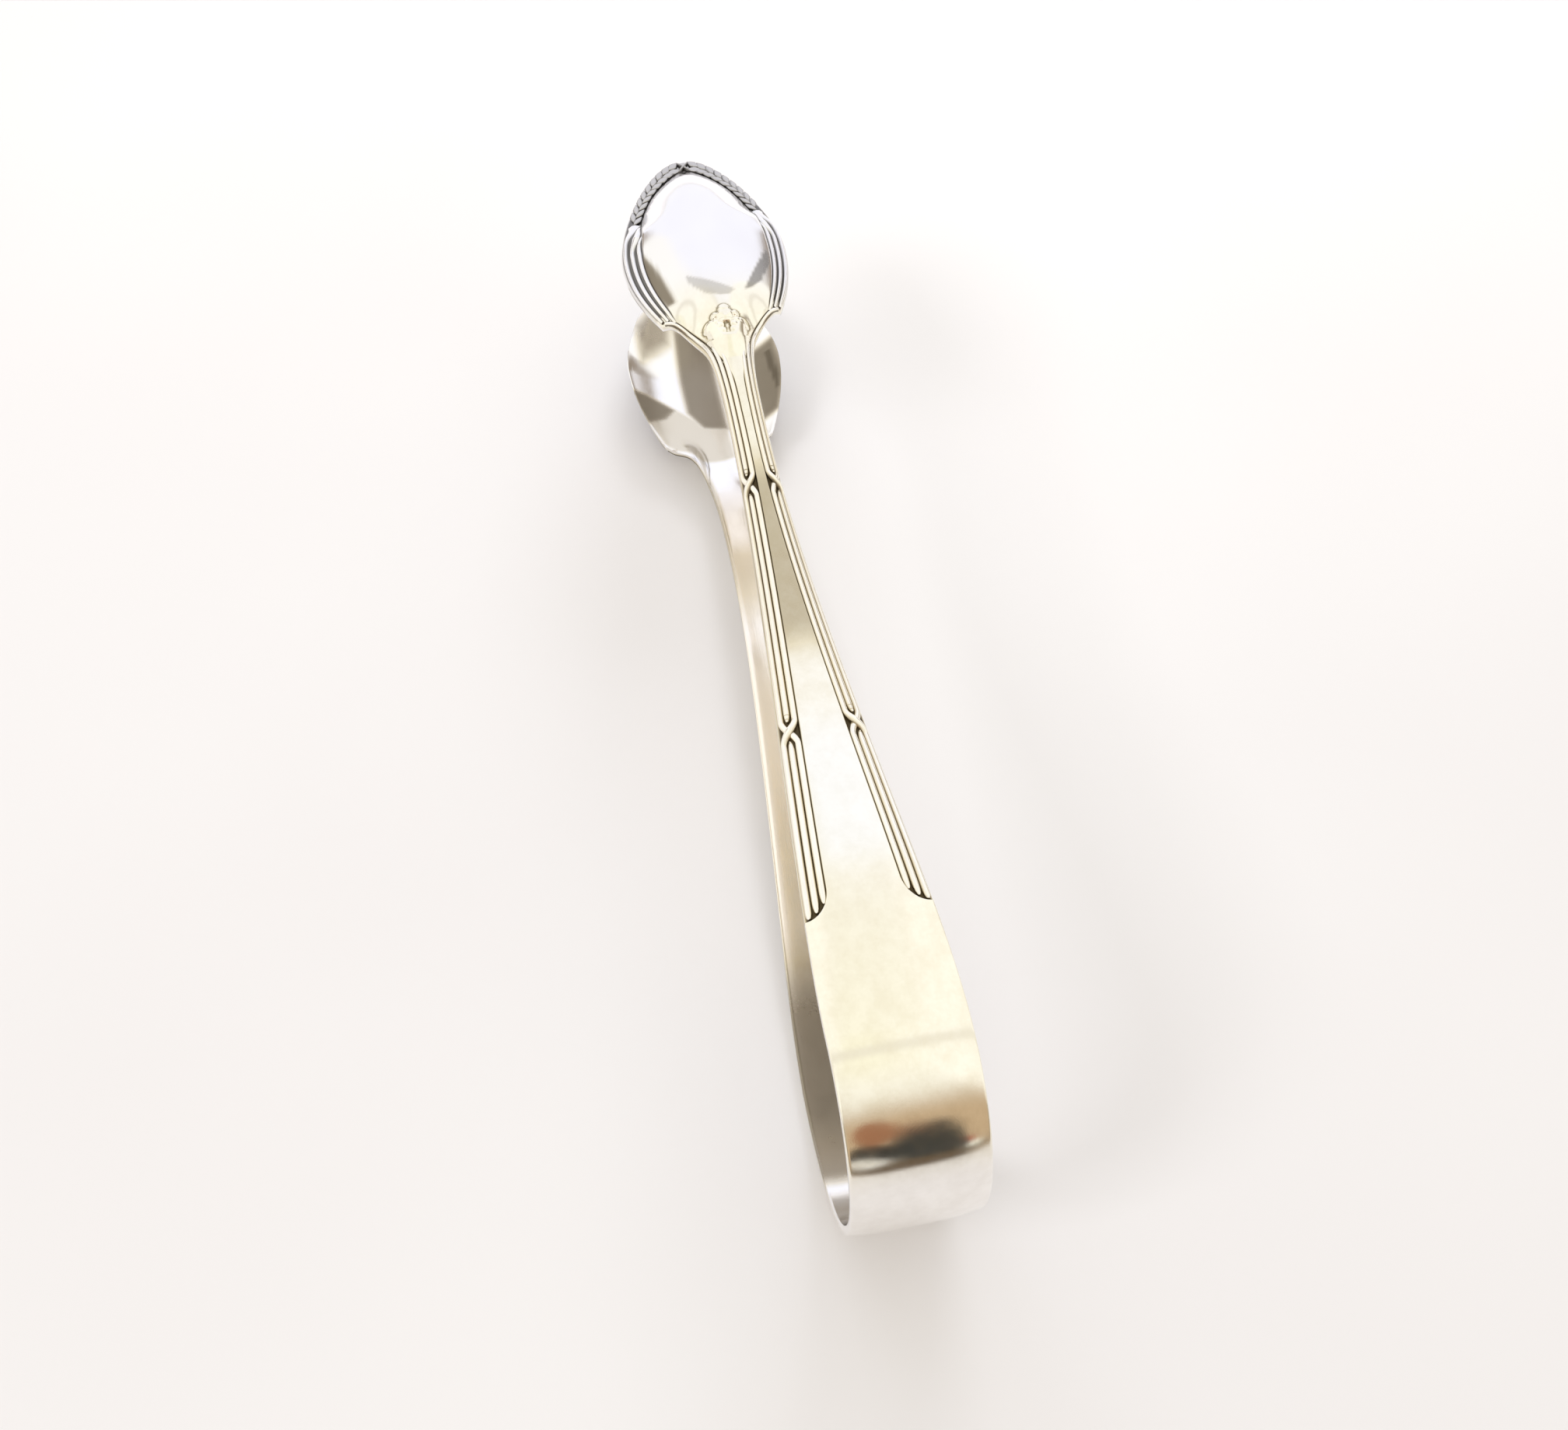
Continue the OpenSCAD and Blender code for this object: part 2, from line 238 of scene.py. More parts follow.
def ridge_fall(x, y):
    """The ridge that carries the palmette, which dies away into the bowl."""
    y = np.abs(y)
    sides = 1 - ramp(y, PALMETTE_WIDTH/2, 0.45*SHOULDER_WIDTH)
    end = 1 - ramp(x, SHOULDER_AT - 4, SHOULDER_AT + 3.6)
    return spread(x)*RIDGE_RISE*(2*y/PALMETTE_WIDTH)**2*sides*end


def thickness(x):
    arm = mix(1.5, 2.3, ramp(x, BOW_RADIUS, TIE_AT[0]))
    bowl = mix(1.2, RIM_THICKNESS, ramp(x, FLANGE_TO, DISH_TO))
    return mix(arm, bowl, ramp(x, NECK_AT + 0.25*NECK_RUN, SHOULDER_AT + 3))


print("crown at the widest place", float(crown(WIDEST_AT)))

# %% Both faces
LEAST_METAL = 1.0
SHARPNESS = 5


def across(x, y):
    """A point's share of the half-width, the field's share of it, and how far the tip's form has come in."""
    w = half_width(x)
    field = np.where(x < DISH_TO, np.minimum(inner_line(x)/w, 0.99), 0)
    return np.minimum(np.abs(y)/w, 1), field, ramp(x, FLANGE_TO - 4, FLANGE_TO + 1)


def tip_outer(x, q, field):
    dish = mix(crown(x), DISH_Z, np.clip(q/np.maximum(field, 1e-6), 0, 1)**2)
    border = mix(np.minimum(crown(x), DISH_Z), RIM_Z, np.clip((q - field)/(1 - field), 0, 1))
    return np.where(q < field, dish, border)


def outer_z(x, y):
    q, field, tip = across(x, y)
    strip = crown(x) - plain_fall(x, q*half_width(x)) - ridge_fall(x, y)
    return mix(strip, tip_outer(x, q, field), tip)


def inner_z(x, y):
    """The inner face, which a soft maximum keeps well under the outer one along the flare."""
    q, field, tip = across(x, y)
    top = crown(x) - thickness(x)
    fall = np.maximum(0, plain_fall(x, half_width(x)) - thickness(x) + RIM_THICKNESS)
    fall = fall*ramp(x, NECK_AT, SHOULDER_AT)*q*q + 0.35*ridge_fall(x, y)
    under = plain_fall(x, q*half_width(x)) + ridge_fall(x, y) - thickness(x) + LEAST_METAL
    fall = np.logaddexp(SHARPNESS*fall, SHARPNESS*under)/SHARPNESS - 0.02
    dish = mix(top, DISH_Z - RIM_THICKNESS, np.clip(q/np.maximum(field, 1e-6), 0, 1)**2)
    hollow = np.where(q < field, dish, tip_outer(x, q, field) - RIM_THICKNESS)
    return mix(top - fall, hollow, tip)


def outer_normal(x, y):
    h = 0.02
    y = np.sign(y)*np.minimum(np.abs(y), half_width(x) - 2*h)
    slope_x = (outer_z(x + h, y) - outer_z(x - h, y))/(2*h)
    slope_y = (outer_z(x, y + h) - outer_z(x, y - h))/(2*h)
    n = np.stack([-slope_x, -slope_y, np.ones_like(slope_x)], -1)
    return n/np.linalg.norm(n, axis=-1, keepdims=True)


middle = np.array([BOW_RADIUS, NECK_AT, SHOULDER_AT, WIDEST_AT])
print("metal along the middle", (outer_z(middle, 0*middle) - inner_z(middle, 0*middle)).round(2))

# %% [markdown]
# The camera looks down on the tongs from behind the bow, a little to one side, as in the photograph.
# Its place and lens were fitted to the edges of the strip, so here they are plain numbers.

# %% Camera
PHOTO_WIDTH = 2016
FOCAL_PIXELS = 2189.5
elevation, azimuth, roll = math.radians(63.12), math.radians(-16.93), math.radians(5.77)
towards = Vector((-math.cos(elevation)*math.cos(azimuth), -math.cos(elevation)*math.sin(azimuth),
                  math.sin(elevation)))
level = (-towards).cross(Vector((0, 0, 1))).normalized()
upright = level.cross(-towards)
right = math.cos(roll)*level + math.sin(roll)*upright
up = -math.sin(roll)*level + math.cos(roll)*upright

bpy.ops.object.camera_add()
camera = bpy.context.object
camera.name = "camera"
camera.matrix_world = Matrix.Translation(to_frame((-28.51, 29.81, 189.44))) @ Matrix(
    (right, up, towards)).transposed().to_4x4()
camera.data.sensor_fit = "HORIZONTAL"
camera.data.sensor_width = 36
camera.data.lens = 36*FOCAL_PIXELS/PHOTO_WIDTH
camera.data.clip_start = 0.01
bpy.context.scene.camera = camera
print("camera at", camera.location, "lens", round(camera.data.lens, 2))

# %% [markdown]
# The table is a plain pale sheet with a trace of pink. A big plane is enough, because its edge is
# never in view, and a faint mottle keeps it from looking like plastic.


# %% Floor
def node(tree, kind, inputs, **settings):
    """Adds a node with its settings, and links or sets its inputs."""
    made = tree.nodes.new("ShaderNode" + kind)
    for name, value in settings.items():
        setattr(made, name, value)
    for name, value in inputs.items():
        if isinstance(value, bpy.types.NodeSocket):
            tree.links.new(value, made.inputs[name])
        else:
            made.inputs[name].default_value = (*value, 1) if made.inputs[name].type == "RGBA" else value
    return made


def colour_stops(made, stops):
    """Gives a colour ramp its stops, each a place from 0 to 1 and a colour."""
    for i, (at, colour) in enumerate(stops):
        stop = made.color_ramp.elements[i] if i < 2 else made.color_ramp.elements.new(at)
        stop.position = at
        stop.color = (*colour, 1)
    return made.outputs["Color"]


bpy.ops.mesh.primitive_plane_add(size=4)
floor = bpy.context.object
floor.name = "floor"
paper = bpy.data.materials.new("table_top")
paper.use_nodes = True
paper_tree = paper.node_tree
shader = paper_tree.nodes["Principled BSDF"]
shader.inputs["Roughness"].default_value = 0.6
spot = node(paper_tree, "TexCoord", {}).outputs["Object"]
mottle = node(paper_tree, "TexNoise", {"Vector": spot, "Scale": 9}).outputs["Fac"]
tone = colour_stops(node(paper_tree, "ValToRGB", {"Fac": mottle}),
                    [(0.35, (0.855, 0.85, 0.87)), (0.65, (0.88, 0.88, 0.90))])
paper_tree.links.new(tone, shader.inputs["Base Color"])
floor.data.materials.append(paper)
print("floor", floor.dimensions)

# %% [markdown]
# Silver shows what is around it, so the light is drawn for its reflections: a bright warm ceiling,
# a cooler bright side, a darker band low behind the camera. The world holds all of this as soft
# gradients, at a strength where a white card would render as white.


# %% World
def remap(tree, value, low, high, out=(0, 1), kind="SMOOTHSTEP"):
    """Turns one range of a value into another."""
    return node(tree, "MapRange", {"Value": value, "From Min": low, "From Max": high, "To Min": out[0],
                                   "To Max": out[1]}, interpolation_type=kind).outputs["Result"]


world = bpy.data.worlds.new("soft_room")
bpy.context.scene.world = world
world.use_nodes = True
room_tree = world.node_tree


def calculate(operation, *values):
    return node(room_tree, "Math", dict(enumerate(values)), operation=operation).outputs["Value"]


def steer(operation, *values, out="Vector"):
    return node(room_tree, "VectorMath", dict(enumerate(values)), operation=operation).outputs[out]


def layer(tree, low, high, share, mode="MIX"):
    """Mixes two colours by a share from 0 to 1."""
    return node(tree, "Mix", {0: share, 6: low, 7: high}, data_type="RGBA", blend_type=mode).outputs[2]


def paint(below, mask, colour):
    return layer(room_tree, below, colour, mask)


ray = node(room_tree, "TexCoord", {}).outputs["Generated"]
parts = node(room_tree, "SeparateXYZ", {"Vector": ray}).outputs
sky = node(room_tree, "ValToRGB", {"Fac": remap(room_tree, parts["Z"], -0.1, 1, kind="LINEAR")})
room = colour_stops(sky, [
    (0.0, (0.75, 0.70, 0.68)), (0.085, (0.70, 0.65, 0.62)), (0.10, (0.26, 0.20, 0.14)),
    (0.15, (0.30, 0.24, 0.18)), (0.28, (0.42, 0.36, 0.30)), (0.475, (0.52, 0.45, 0.37)),
    (0.734, (0.82, 0.76, 0.68)), (0.90, (1.0, 0.98, 0.92)), (0.955, (1.02, 1.0, 0.91)),
    (1.0, (1.02, 0.995, 0.85))])
uneven = node(room_tree, "TexNoise", {"Vector": ray, "Scale": 2.6}).outputs["Color"]
swayed = steer("SUBTRACT", steer("MULTIPLY_ADD", uneven, (0.08, 0.08, 0.08), ray), (0.04, 0.04, 0.04))
print("world nodes", len(room_tree.nodes))

# %% [markdown]
# Three bright patches stand for the window ahead and for two pale walls. The walls are there for the
# silver alone, so that they don't light the table as well.


# %% Bright sides of the room
def glow(turn, rise, inner, outer):
    """A soft patch of the room at an azimuth and elevation, 1 inside one angle and 0 outside another."""
    turn, rise = math.radians(turn), math.radians(rise)
    aim = (math.cos(rise)*math.cos(turn), math.cos(rise)*math.sin(turn), math.sin(rise))
    return remap(room_tree, steer("DOT_PRODUCT", swayed, aim, out="Value"),
                 math.cos(math.radians(outer)), math.cos(math.radians(inner)))


light_path = node(room_tree, "LightPath", {}).outputs
WALL_COLOUR = (1.09, 1.07, 1.02)
for wall in ((80, 38, 38, 46), (-92, 40, 36, 44)):
    room = paint(room, calculate("MULTIPLY", glow(*wall), light_path["Is Glossy Ray"]), WALL_COLOUR)
room = paint(room, glow(-8, 20, 39.5, 44), (1.04, 1.04, 1.09))
print("world nodes", len(room_tree.nodes))

# %% [markdown]
# The bow bends the dim side of the room, behind the camera, into a small dark picture. A few smudges
# draw it, each an ellipse in azimuth and elevation. The camera itself sees a plain pale backdrop
# wherever it looks past the table.

# %% Room behind the camera
swayed_parts = node(room_tree, "SeparateXYZ", {"Vector": swayed}).outputs
around = calculate("ARCTAN2", swayed_parts["Y"], calculate("MULTIPLY", swayed_parts["X"], -1))
steep = calculate("ARCSINE", calculate("MINIMUM", swayed_parts["Z"], 1))
behind = node(room_tree, "CombineXYZ", {"X": around, "Y": steep}).outputs["Vector"]


def smudge(turn, rise, wide, tall, soft):
    """An ellipse at an azimuth from straight behind and an elevation, in degrees, with a soft rim."""
    from_middle = steer("SUBTRACT", behind, (math.radians(turn), math.radians(rise), 0))
    stretched = steer("DIVIDE", from_middle, (math.radians(wide), math.radians(tall), 1))
    return remap(room_tree, steer("LENGTH", stretched, out="Value"), 1 + soft, 1 - soft)


SMUDGES = [
    (-8, 22.5, 42, 24, 0.45, (0.58, 0.43, 0.29)), (2, 14, 11, 10, 0.2, (0.05, 0.045, 0.04)),
    (-12.5, 15, 7, 18, 0.22, (0.05, 0.05, 0.047)), (0.5, 31.5, 9.5, 8.5, 0.25, (0.36, 0.17, 0.095)),
    (-4, 2.6, 22, 3.4, 0.4, (0.13, 0.09, 0.055)), (4.0, 8.2, 8.5, 3.8, 0.3, (0.80, 0.77, 0.74)),
    (-20.5, 9.5, 1.4, 3.2, 0.4, (0.45, 0.13, 0.09)), (-21, 5.2, 3.4, 1.9, 0.35, (1.0, 1.0, 0.92))]
for *ellipse, colour in SMUDGES:
    room = paint(room, smudge(*ellipse), colour)
beam = remap(room_tree, calculate("ABSOLUTE", parts["X"]), 0.10, 0.02, (0, 0.7))
room = paint(room, beam, (0.84, 0.80, 0.73))
BACKDROP = (0.80, 0.785, 0.765)
room = paint(room, light_path["Is Camera Ray"], BACKDROP)
room_tree.links.new(room, room_tree.nodes["Background"].inputs["Color"])
bpy.context.scene.view_settings.view_transform = "Standard"
print("world nodes", len(room_tree.nodes))

# %% [markdown]
# The shadows on the table tell where the light comes from: a window on the left, about 40 degrees up,
# throws them to the right, and pools of light beyond the tips brighten the table's far side.
# The lamps are left out of the reflections, because the world already draws what the silver sees.


# %% Window light
def lamp(name, place, aim, size, energy, colour):
    bpy.ops.object.light_add(type="AREA", location=place)
    made = bpy.context.object
    made.name = name
    made.data.shape = "SQUARE"
    made.data.size = size
    made.data.energy = energy
    made.data.color = colour
    made.visible_glossy = False
    made.rotation_mode = "QUATERNION"
    made.rotation_quaternion = (made.location - Vector(aim)).to_track_quat("Z", "Y")
    return made


lamps = [lamp("window", (-0.27, 1.51, 1.29), (0, 0, 0), 0.62, 9.2, (0.97, 0.97, 1.0)),
         lamp("right_pool", (0.30, -0.12, 0.22), (0.20, -0.10, 0), 0.15, 0.33, (0.95, 0.97, 1.0)),
         lamp("left_pool", (0.36, 0.16, 0.18), (0.30, 0.14, 0), 0.12, 0.05, (0.95, 0.97, 1.0)),
         lamp("far_pool", (1.20, 0, 0.80), (1.20, 0, 0), 1.0, 2.5, (0.97, 0.98, 1.0))]
print("lamps", [(made.name, made.data.energy) for made in lamps])

# %% [markdown]
# The finish is old silver plate: a bright metal with a warm cast, mottled by handling, finely
# scratched, and dark where polish never reaches. The mesh carries that darkness as an attribute, and
# with it painted shade in recesses and on faces that turn away, and painted reflections of darker
# parts of the room, so the shader only has to darken the metal by it. A second attribute marks the
# cleaner inner faces, less the arm's reeds, and the painted brown reflection on the bowl. Towards the
# tips the dark turns from brown to grey, as silver does, and only stays brown where the second one is 1.

# %% Silver finish
WHITE_SILVER = (0.975, 0.97, 0.985)
silver = bpy.data.materials.new("silver_plate_worn")
silver.use_nodes = True
tree = silver.node_tree
metal = tree.nodes["Principled BSDF"]
metal.inputs["Metallic"].default_value = 1.0
where = node(tree, "TexCoord", {}).outputs["Object"]
where_x = node(tree, "SeparateXYZ", {"Vector": where}).outputs["X"]
cloud = node(tree, "TexNoise", {"Vector": where, "Scale": 420, "Detail": 6, "Roughness": 0.68}).outputs["Fac"]
broad = node(tree, "TexNoise", {"Vector": where, "Scale": 75}).outputs["Fac"]
polish_and_brown_reflection = node(tree, "Attribute", {}, attribute_name="polish_and_brown_reflection").outputs["Fac"]


def along(start, end):
    """Rises from 0 to 1 between two places along the tongs, in metres of the frame."""
    return remap(tree, where_x, start, end)


handled = remap(tree, cloud, 0.36, 0.62, kind="LINEAR")
arm_tint = layer(tree, (0.92, 0.875, 0.735), (0.975, 0.942, 0.82), handled)
bowl_tint = layer(tree, (0.83, 0.815, 0.85), (0.99, 0.985, 0.985), broad)
back_tint = layer(tree, (0.90, 0.88, 0.85), (0.955, 0.94, 0.915), handled)
bare_tint = layer(tree, (0.95, 0.935, 0.86), (0.985, 0.972, 0.905), handled)
middle_tint = layer(tree, arm_tint, bare_tint, along(-0.0385, -0.033))
middle_tint = layer(tree, middle_tint, arm_tint, along(-0.022, -0.014))
clean = layer(tree, back_tint, middle_tint, along(-0.0705, -0.0665))
clean = layer(tree, clean, bowl_tint, along(0.040, 0.050))
peach = layer(tree, WHITE_SILVER, (0.995, 0.945, 0.86), along(-0.042, -0.028))
polished = layer(tree, peach, WHITE_SILVER, along(0.028, 0.036))
clean = layer(tree, clean, polished, polish_and_brown_reflection)
print("finish nodes", len(tree.nodes))

# %% Film, painted shade and scratches
# Darkens the metal by the attribute that holds tarnish, painted shade and painted reflections.
FILM_AND_SHADE = [(0.0, (1, 1, 1)), (0.2, (0.84, 0.79, 0.67)), (0.5, (0.42, 0.37, 0.29)), (1.0, (0.085, 0.066, 0.04))]
tarnish_and_painted_shade = node(tree, "Attribute", {}, attribute_name="tarnish_and_painted_shade").outputs["Fac"]
shade = colour_stops(node(tree, "ValToRGB", {"Fac": tarnish_and_painted_shade}), FILM_AND_SHADE)
browner = remap(tree, polish_and_brown_reflection, 0, 1, (0.15, 1), kind="LINEAR")
cool = node(tree, "HueSaturation", {"Saturation": browner, "Color": shade}).outputs["Color"]
film_and_shade_colour = layer(tree, shade, cool, along(0.038, 0.046))
tree.links.new(layer(tree, clean, film_and_shade_colour, 1.0, "MULTIPLY"), metal.inputs["Base Color"])

haze = remap(tree, cloud, 0.3, 0.7, (0.17, 0.09), kind="LINEAR")
rough = node(tree, "Math", {0: tarnish_and_painted_shade, 1: 0.3, 2: haze}, operation="MULTIPLY_ADD")
tree.links.new(rough.outputs["Value"], metal.inputs["Roughness"])

turned = node(tree, "Mapping", {"Vector": where, "Rotation": (0, 0, math.radians(35)),
                                "Scale": (160, 9000, 9000)}).outputs["Vector"]
scratch = node(tree, "TexNoise", {"Vector": turned, "Scale": 1}).outputs["Fac"]
relief = node(tree, "Bump", {"Strength": 0.03, "Distance": 0.0001, "Height": scratch})
tree.links.new(relief.outputs["Normal"], metal.inputs["Normal"])
print("finish nodes", len(tree.nodes))

# %% [markdown]
# The strip could be extruded station by station, but a sheet is truer to the real thing and faster:
# a grid primitive with one row for each station and one column for each point round the section.
# Its points are then laid on the faces, the two long sides meet and merge, and the ends are filled.

# %% Columns round the section
EDGE_ROUND = 0.2
TRIM_STEPS = np.array([0, 0.006, 0.02, 0.045, 0.085, 0.14, 0.25, 0.4, 0.55, 0.7, 0.82, 0.89, 0.925, 0.95,
                       0.975, 1.0])
FIELD_STEPS = np.array([0.02, 0.045, 0.08, 0.13, *np.linspace(0.2, 1, 18)])
INNER_STEPS = np.array([0, 0.01, 0.03, 0.06, *np.linspace(0.1, 1, 26)])
RING = 2*(len(TRIM_STEPS) + len(FIELD_STEPS)) - 1 + 2*len(INNER_STEPS) - 1
print("points round a section", RING)


# %% Relief of the bare strip
def distance_to(line, x, y):
    """The shortest distance from each point to a line of points."""
    a, b = line[:-1], line[1:]
    ab = b - a
    size = (ab**2).sum(1) + 1e-12
    best = np.full(x.shape, 1e9)
    for (ax, ay), (dx, dy), s in zip(a, ab, size):
        t = np.clip(((x - ax)*dx + (y - ay)*dy)/s, 0, 1)
        best = np.minimum(best, (x - ax - t*dx)**2 + (y - ay - t*dy)**2)
    return np.sqrt(best)


def into_trim(x, y):
    """How far a point lies outside the field's line, less than 0 in the field."""
    y = np.abs(y)
    w = half_width(x)
    line = w - (w - inner_line(x))*panel_reach(x)
    past = y - line
    egg = x > SHOULDER_AT - 8
    if egg.any():
        near = distance_to(FIELD_EDGE, x[egg], y[egg])
        inside = (past[egg] < 0) & (x[egg] < FIELD_EDGE[-1, 0])
        past[egg] = np.where(inside, -near, near)
    return past


def strip_relief(x, y):
    """The channel of the reeds, and how far each point lies in it."""
    past = into_trim(x, y)
    depth = mix(0.3, 0.22, ramp(x, 60, NECK_AT))*(x > PANEL_FROM)
    return -depth*smooth((past + 0.04)/0.14), past


along_field = np.concatenate([np.linspace(SHOULDER_AT - 10, 141, 220), np.linspace(141, DISH_TO, 60)[1:]])
FIELD_EDGE = np.vstack([np.stack([along_field, inner_line(along_field)], 1), [DISH_TO, 0]])
print("field edge", len(FIELD_EDGE), "points")

# %% [markdown]
# The palmette is drawn in plan first, as with a compass: discs for the leaves, and tapered rods where
# they grow out of the stem. The distance to that plan is of use twice, for the darkening close round it,
# patina with painted shade, and later for its relief.

# %% Palmette in plan
# Each disc: middle x, middle y and radius.
TREFOIL = [(114.0, 0.0, 0.86), (113.4, 1.38, 0.52), (113.4, -1.38, 0.52), (113.15, 0.0, 1.15)]
LOBE = [(112.25, 2.2, 0.84), (111.75, 1.0, 0.68), (110.9, 0.8, 0.64), (112.4, 1.5, 0.6)]
VEIN = [(111.6, 0.0, 0.1), (111.1, 0.0, 0.08), (110.6, 0.0, 0.05)]
LOBE_ROD = ((111.9, 1.95, 0.8), (109.8, 1.3, 1.1))
STEM_TO = 110.6


def disc_gap(discs, x, y):
    """Distance to the nearest disc, less than 0 inside one."""
    return np.min([np.hypot(x - cx, y - cy) - r for cx, cy, r in discs], axis=0)


def rod_gap(x, y, start, end):
    """Distance to a tapered rod between two discs."""
    (ax, ay, ar), (bx, by, br) = start, end
    t = np.clip(((x - ax)*(bx - ax) + (y - ay)*(by - ay))/((bx - ax)**2 + (by - ay)**2), 0, 1)
    return np.hypot(x - mix(ax, bx, t), y - mix(ay, by, t)) - mix(ar, br, t)


def lobe_gap(x, y):
    """Distance to the two lower lobes and the stem that they grow from."""
    y = np.abs(y)
    lobe = np.minimum(disc_gap(LOBE, x, y), rod_gap(x, y, *LOBE_ROD))
    stem = np.maximum(y - inner_line(x) + 0.05, x - STEM_TO)
    return np.minimum(lobe, stem)


def palmette_gap(x, y):
    return np.minimum(disc_gap(TREFOIL, x, y), lobe_gap(x, y))


print("palmette gaps along its middle", palmette_gap(np.array([112, 114, 115]), np.zeros(3)).round(2))

# %% [markdown]
# The plain field has a browner stretch before the neck and marks on the bowl, all painted reflections,
# and it is dark close round the palmette, patina with painted shade. The inside has painted shade near
# the bow, is darker before the neck and along the neck's edges, and carries painted reflections in the
# hollow of a bowl. Each patch is a shape with a soft edge, given by its corners in plan.


# %% Painted reflections and shade
def painted_patch(corners, x, y, soft):
    """1 inside a shape given by its corners in plan, fading over a soft edge."""
    closed = np.array([*corners, corners[0]], float)
    inside = np.zeros(x.shape, bool)
    for (ax, ay), (bx, by) in zip(closed[:-1], closed[1:]):
        crosses = (ay > y) != (by > y)
        inside ^= crosses & (x < ax + (bx - ax)*(y - ay)/(by - ay + 1e-12))
    gap = distance_to(closed, x, y)
    return smooth(0.5 + np.where(inside, gap, -gap)/soft)


# Painted reflections on the bowl's outer face: a crescent by the palmette, a dark wedge on one side and a
# brown band along the other.
CRESCENT = [(120.6, 3.9), (119.5, 3.75), (118.5, 3.2), (117, 1.8), (116.4, 0), (116.4, -1.2), (117.2, -2.1)]
WEDGE = [(117.3, -3.4), (121, -5.5), (125.3, -8), (124, -8.1), (122.5, -7.9), (121, -7.2), (119, -6),
         (117.7, -4.5)]
BROWN = [(117.3, 5.7), (119, 6.05), (121.5, 6.65), (124, 7.4), (126.8, 8.4), (126, 8.9), (122, 8.6),
         (119, 7.7), (117.2, 6.8)]
BROWN_EDGE = 0.8
# How dark the painted shade inside the bow is.
BOW_INSIDE_SHADE = 0.57


def field_reflections_and_shade(x, y):
    # The browner stretch before the neck, the crescent, the wedge and the brown band are painted reflections;
    # the halo round the palmette is patina with painted shade.
    before_neck = 0.38*ramp(x, 61, 69)*(1 - ramp(x, 87, 96))
    crescent = 0.3*painted_patch(CRESCENT, x, y, 0.3)
    wedge = 0.52*painted_patch(WEDGE, x, y, 0.35)
    brown = 0.7*painted_patch(BROWN, x, y, BROWN_EDGE)
    halo = 0.75*smooth(1 - palmette_gap(x, y)/0.3)*ramp(x, STEM_TO, 111.4)
    return np.max([before_neck, crescent, wedge, brown, halo], axis=0)


# Each painted reflection in a bowl's hollow: how dark it is at most, how soft its edge is, and its corners.
HOLLOW_REFLECTIONS = [
    (0.68, 1.3, [(118.9, 9.7), (121.5, 10.8), (124.4, 11.3), (124.3, 9), (123.4, 6.6), (122.6, 5.2),
                 (120.6, 6.8)]),
    (0.64, 1.5, [(118.6, -2), (119.4, 1.5), (122.3, 3.4), (128, 3.5), (136.5, 3.0), (136.8, -2)]),
    (0.48, 2.4, [(130.3, 8.8), (131.8, 7.2), (134.2, 4), (137, 3.5), (139, 6), (136, 8.8)]),
    (0.7, 1.6, [(117.8, -7), (130, -6.2), (130.5, -11), (124, -11.4), (118.5, -9.5)]),
    (0.85, 0.9, [(121.5, -9.6), (129.2, -8.9), (129.2, -10.4), (124, -10.8), (121.8, -10.4)]),
    (0.25, 0.9, [(113, -2), (112.5, 3), (115.5, 8), (119.3, 9.4), (122.7, 4.9), (120.4, 1.6), (119.3, -2)])]


def inner_shade_and_reflections(x, y):
    # Painted shade near the bow, darker before the neck and along the neck's edges, and painted reflections
    # in the bowl's hollow.
    near_bow = mix(BOW_INSIDE_SHADE, 0.0, ramp(x, 27, 43))
    before_neck = 0.22*ramp(x, 82, 90)*(1 - ramp(x, 94, 99))
    neck_edges = 0.3*ramp(np.abs(y)/half_width(x), 0.6, 0.9)*ramp(x, 84, 92)*(1 - ramp(x, 108, 112))
    inner_darkness = np.max([near_bow, before_neck, neck_edges], axis=0)
    for most, soft, corners in HOLLOW_REFLECTIONS:
        inner_darkness = np.maximum(inner_darkness, most*painted_patch(corners, x, y, soft))
    return inner_darkness


print("film before the neck", float(field_reflections_and_shade(np.array(80.0), np.array(0.0))))

# %% [markdown]
# Each section runs over the outer face from edge to edge and comes back along the inner one. Its points
# stand close together at the edges, where the metal is rounded, and at the line of the field.


# %% Laying the sheet on the faces
def column_places(x):
    """Half-widths of the outer columns, from the edge to the middle, for a row of stations."""
    w = half_width(x)
    before = np.clip((PANEL_FROM - x)/3, 0, 1)
    reach = np.maximum(0.05, np.where(x < PANEL_FROM, smooth(before), panel_reach(x)))
    line = np.maximum(w - (w - inner_line(x))*reach, 0.05*w)
    trim = w[:, None] - (w - line)[:, None]*TRIM_STEPS
    field = line[:, None]*(1 - FIELD_STEPS)
    return np.hstack([trim, field])


def edge_gap(x, y):
    """Distance from the outline, in plan."""
    gap = half_width(x) - np.abs(y)
    curved = x > SHOULDER_AT - 8
    if curved.any():
        rim = np.vstack([OUTLINE[OUTLINE[:, 0] > SHOULDER_AT - 11], [LENGTH, 0]])
        gap[curved] = np.minimum(gap[curved], distance_to(rim, x[curved], np.abs(y[curved])))
    return gap


def edge_fall(gap):
    """How far a rounded edge falls at a distance in from the outline."""
    inside = np.clip(1 - gap/EDGE_ROUND, 0, 1)
    return EDGE_ROUND*(1 - np.sqrt(1 - inside**2))


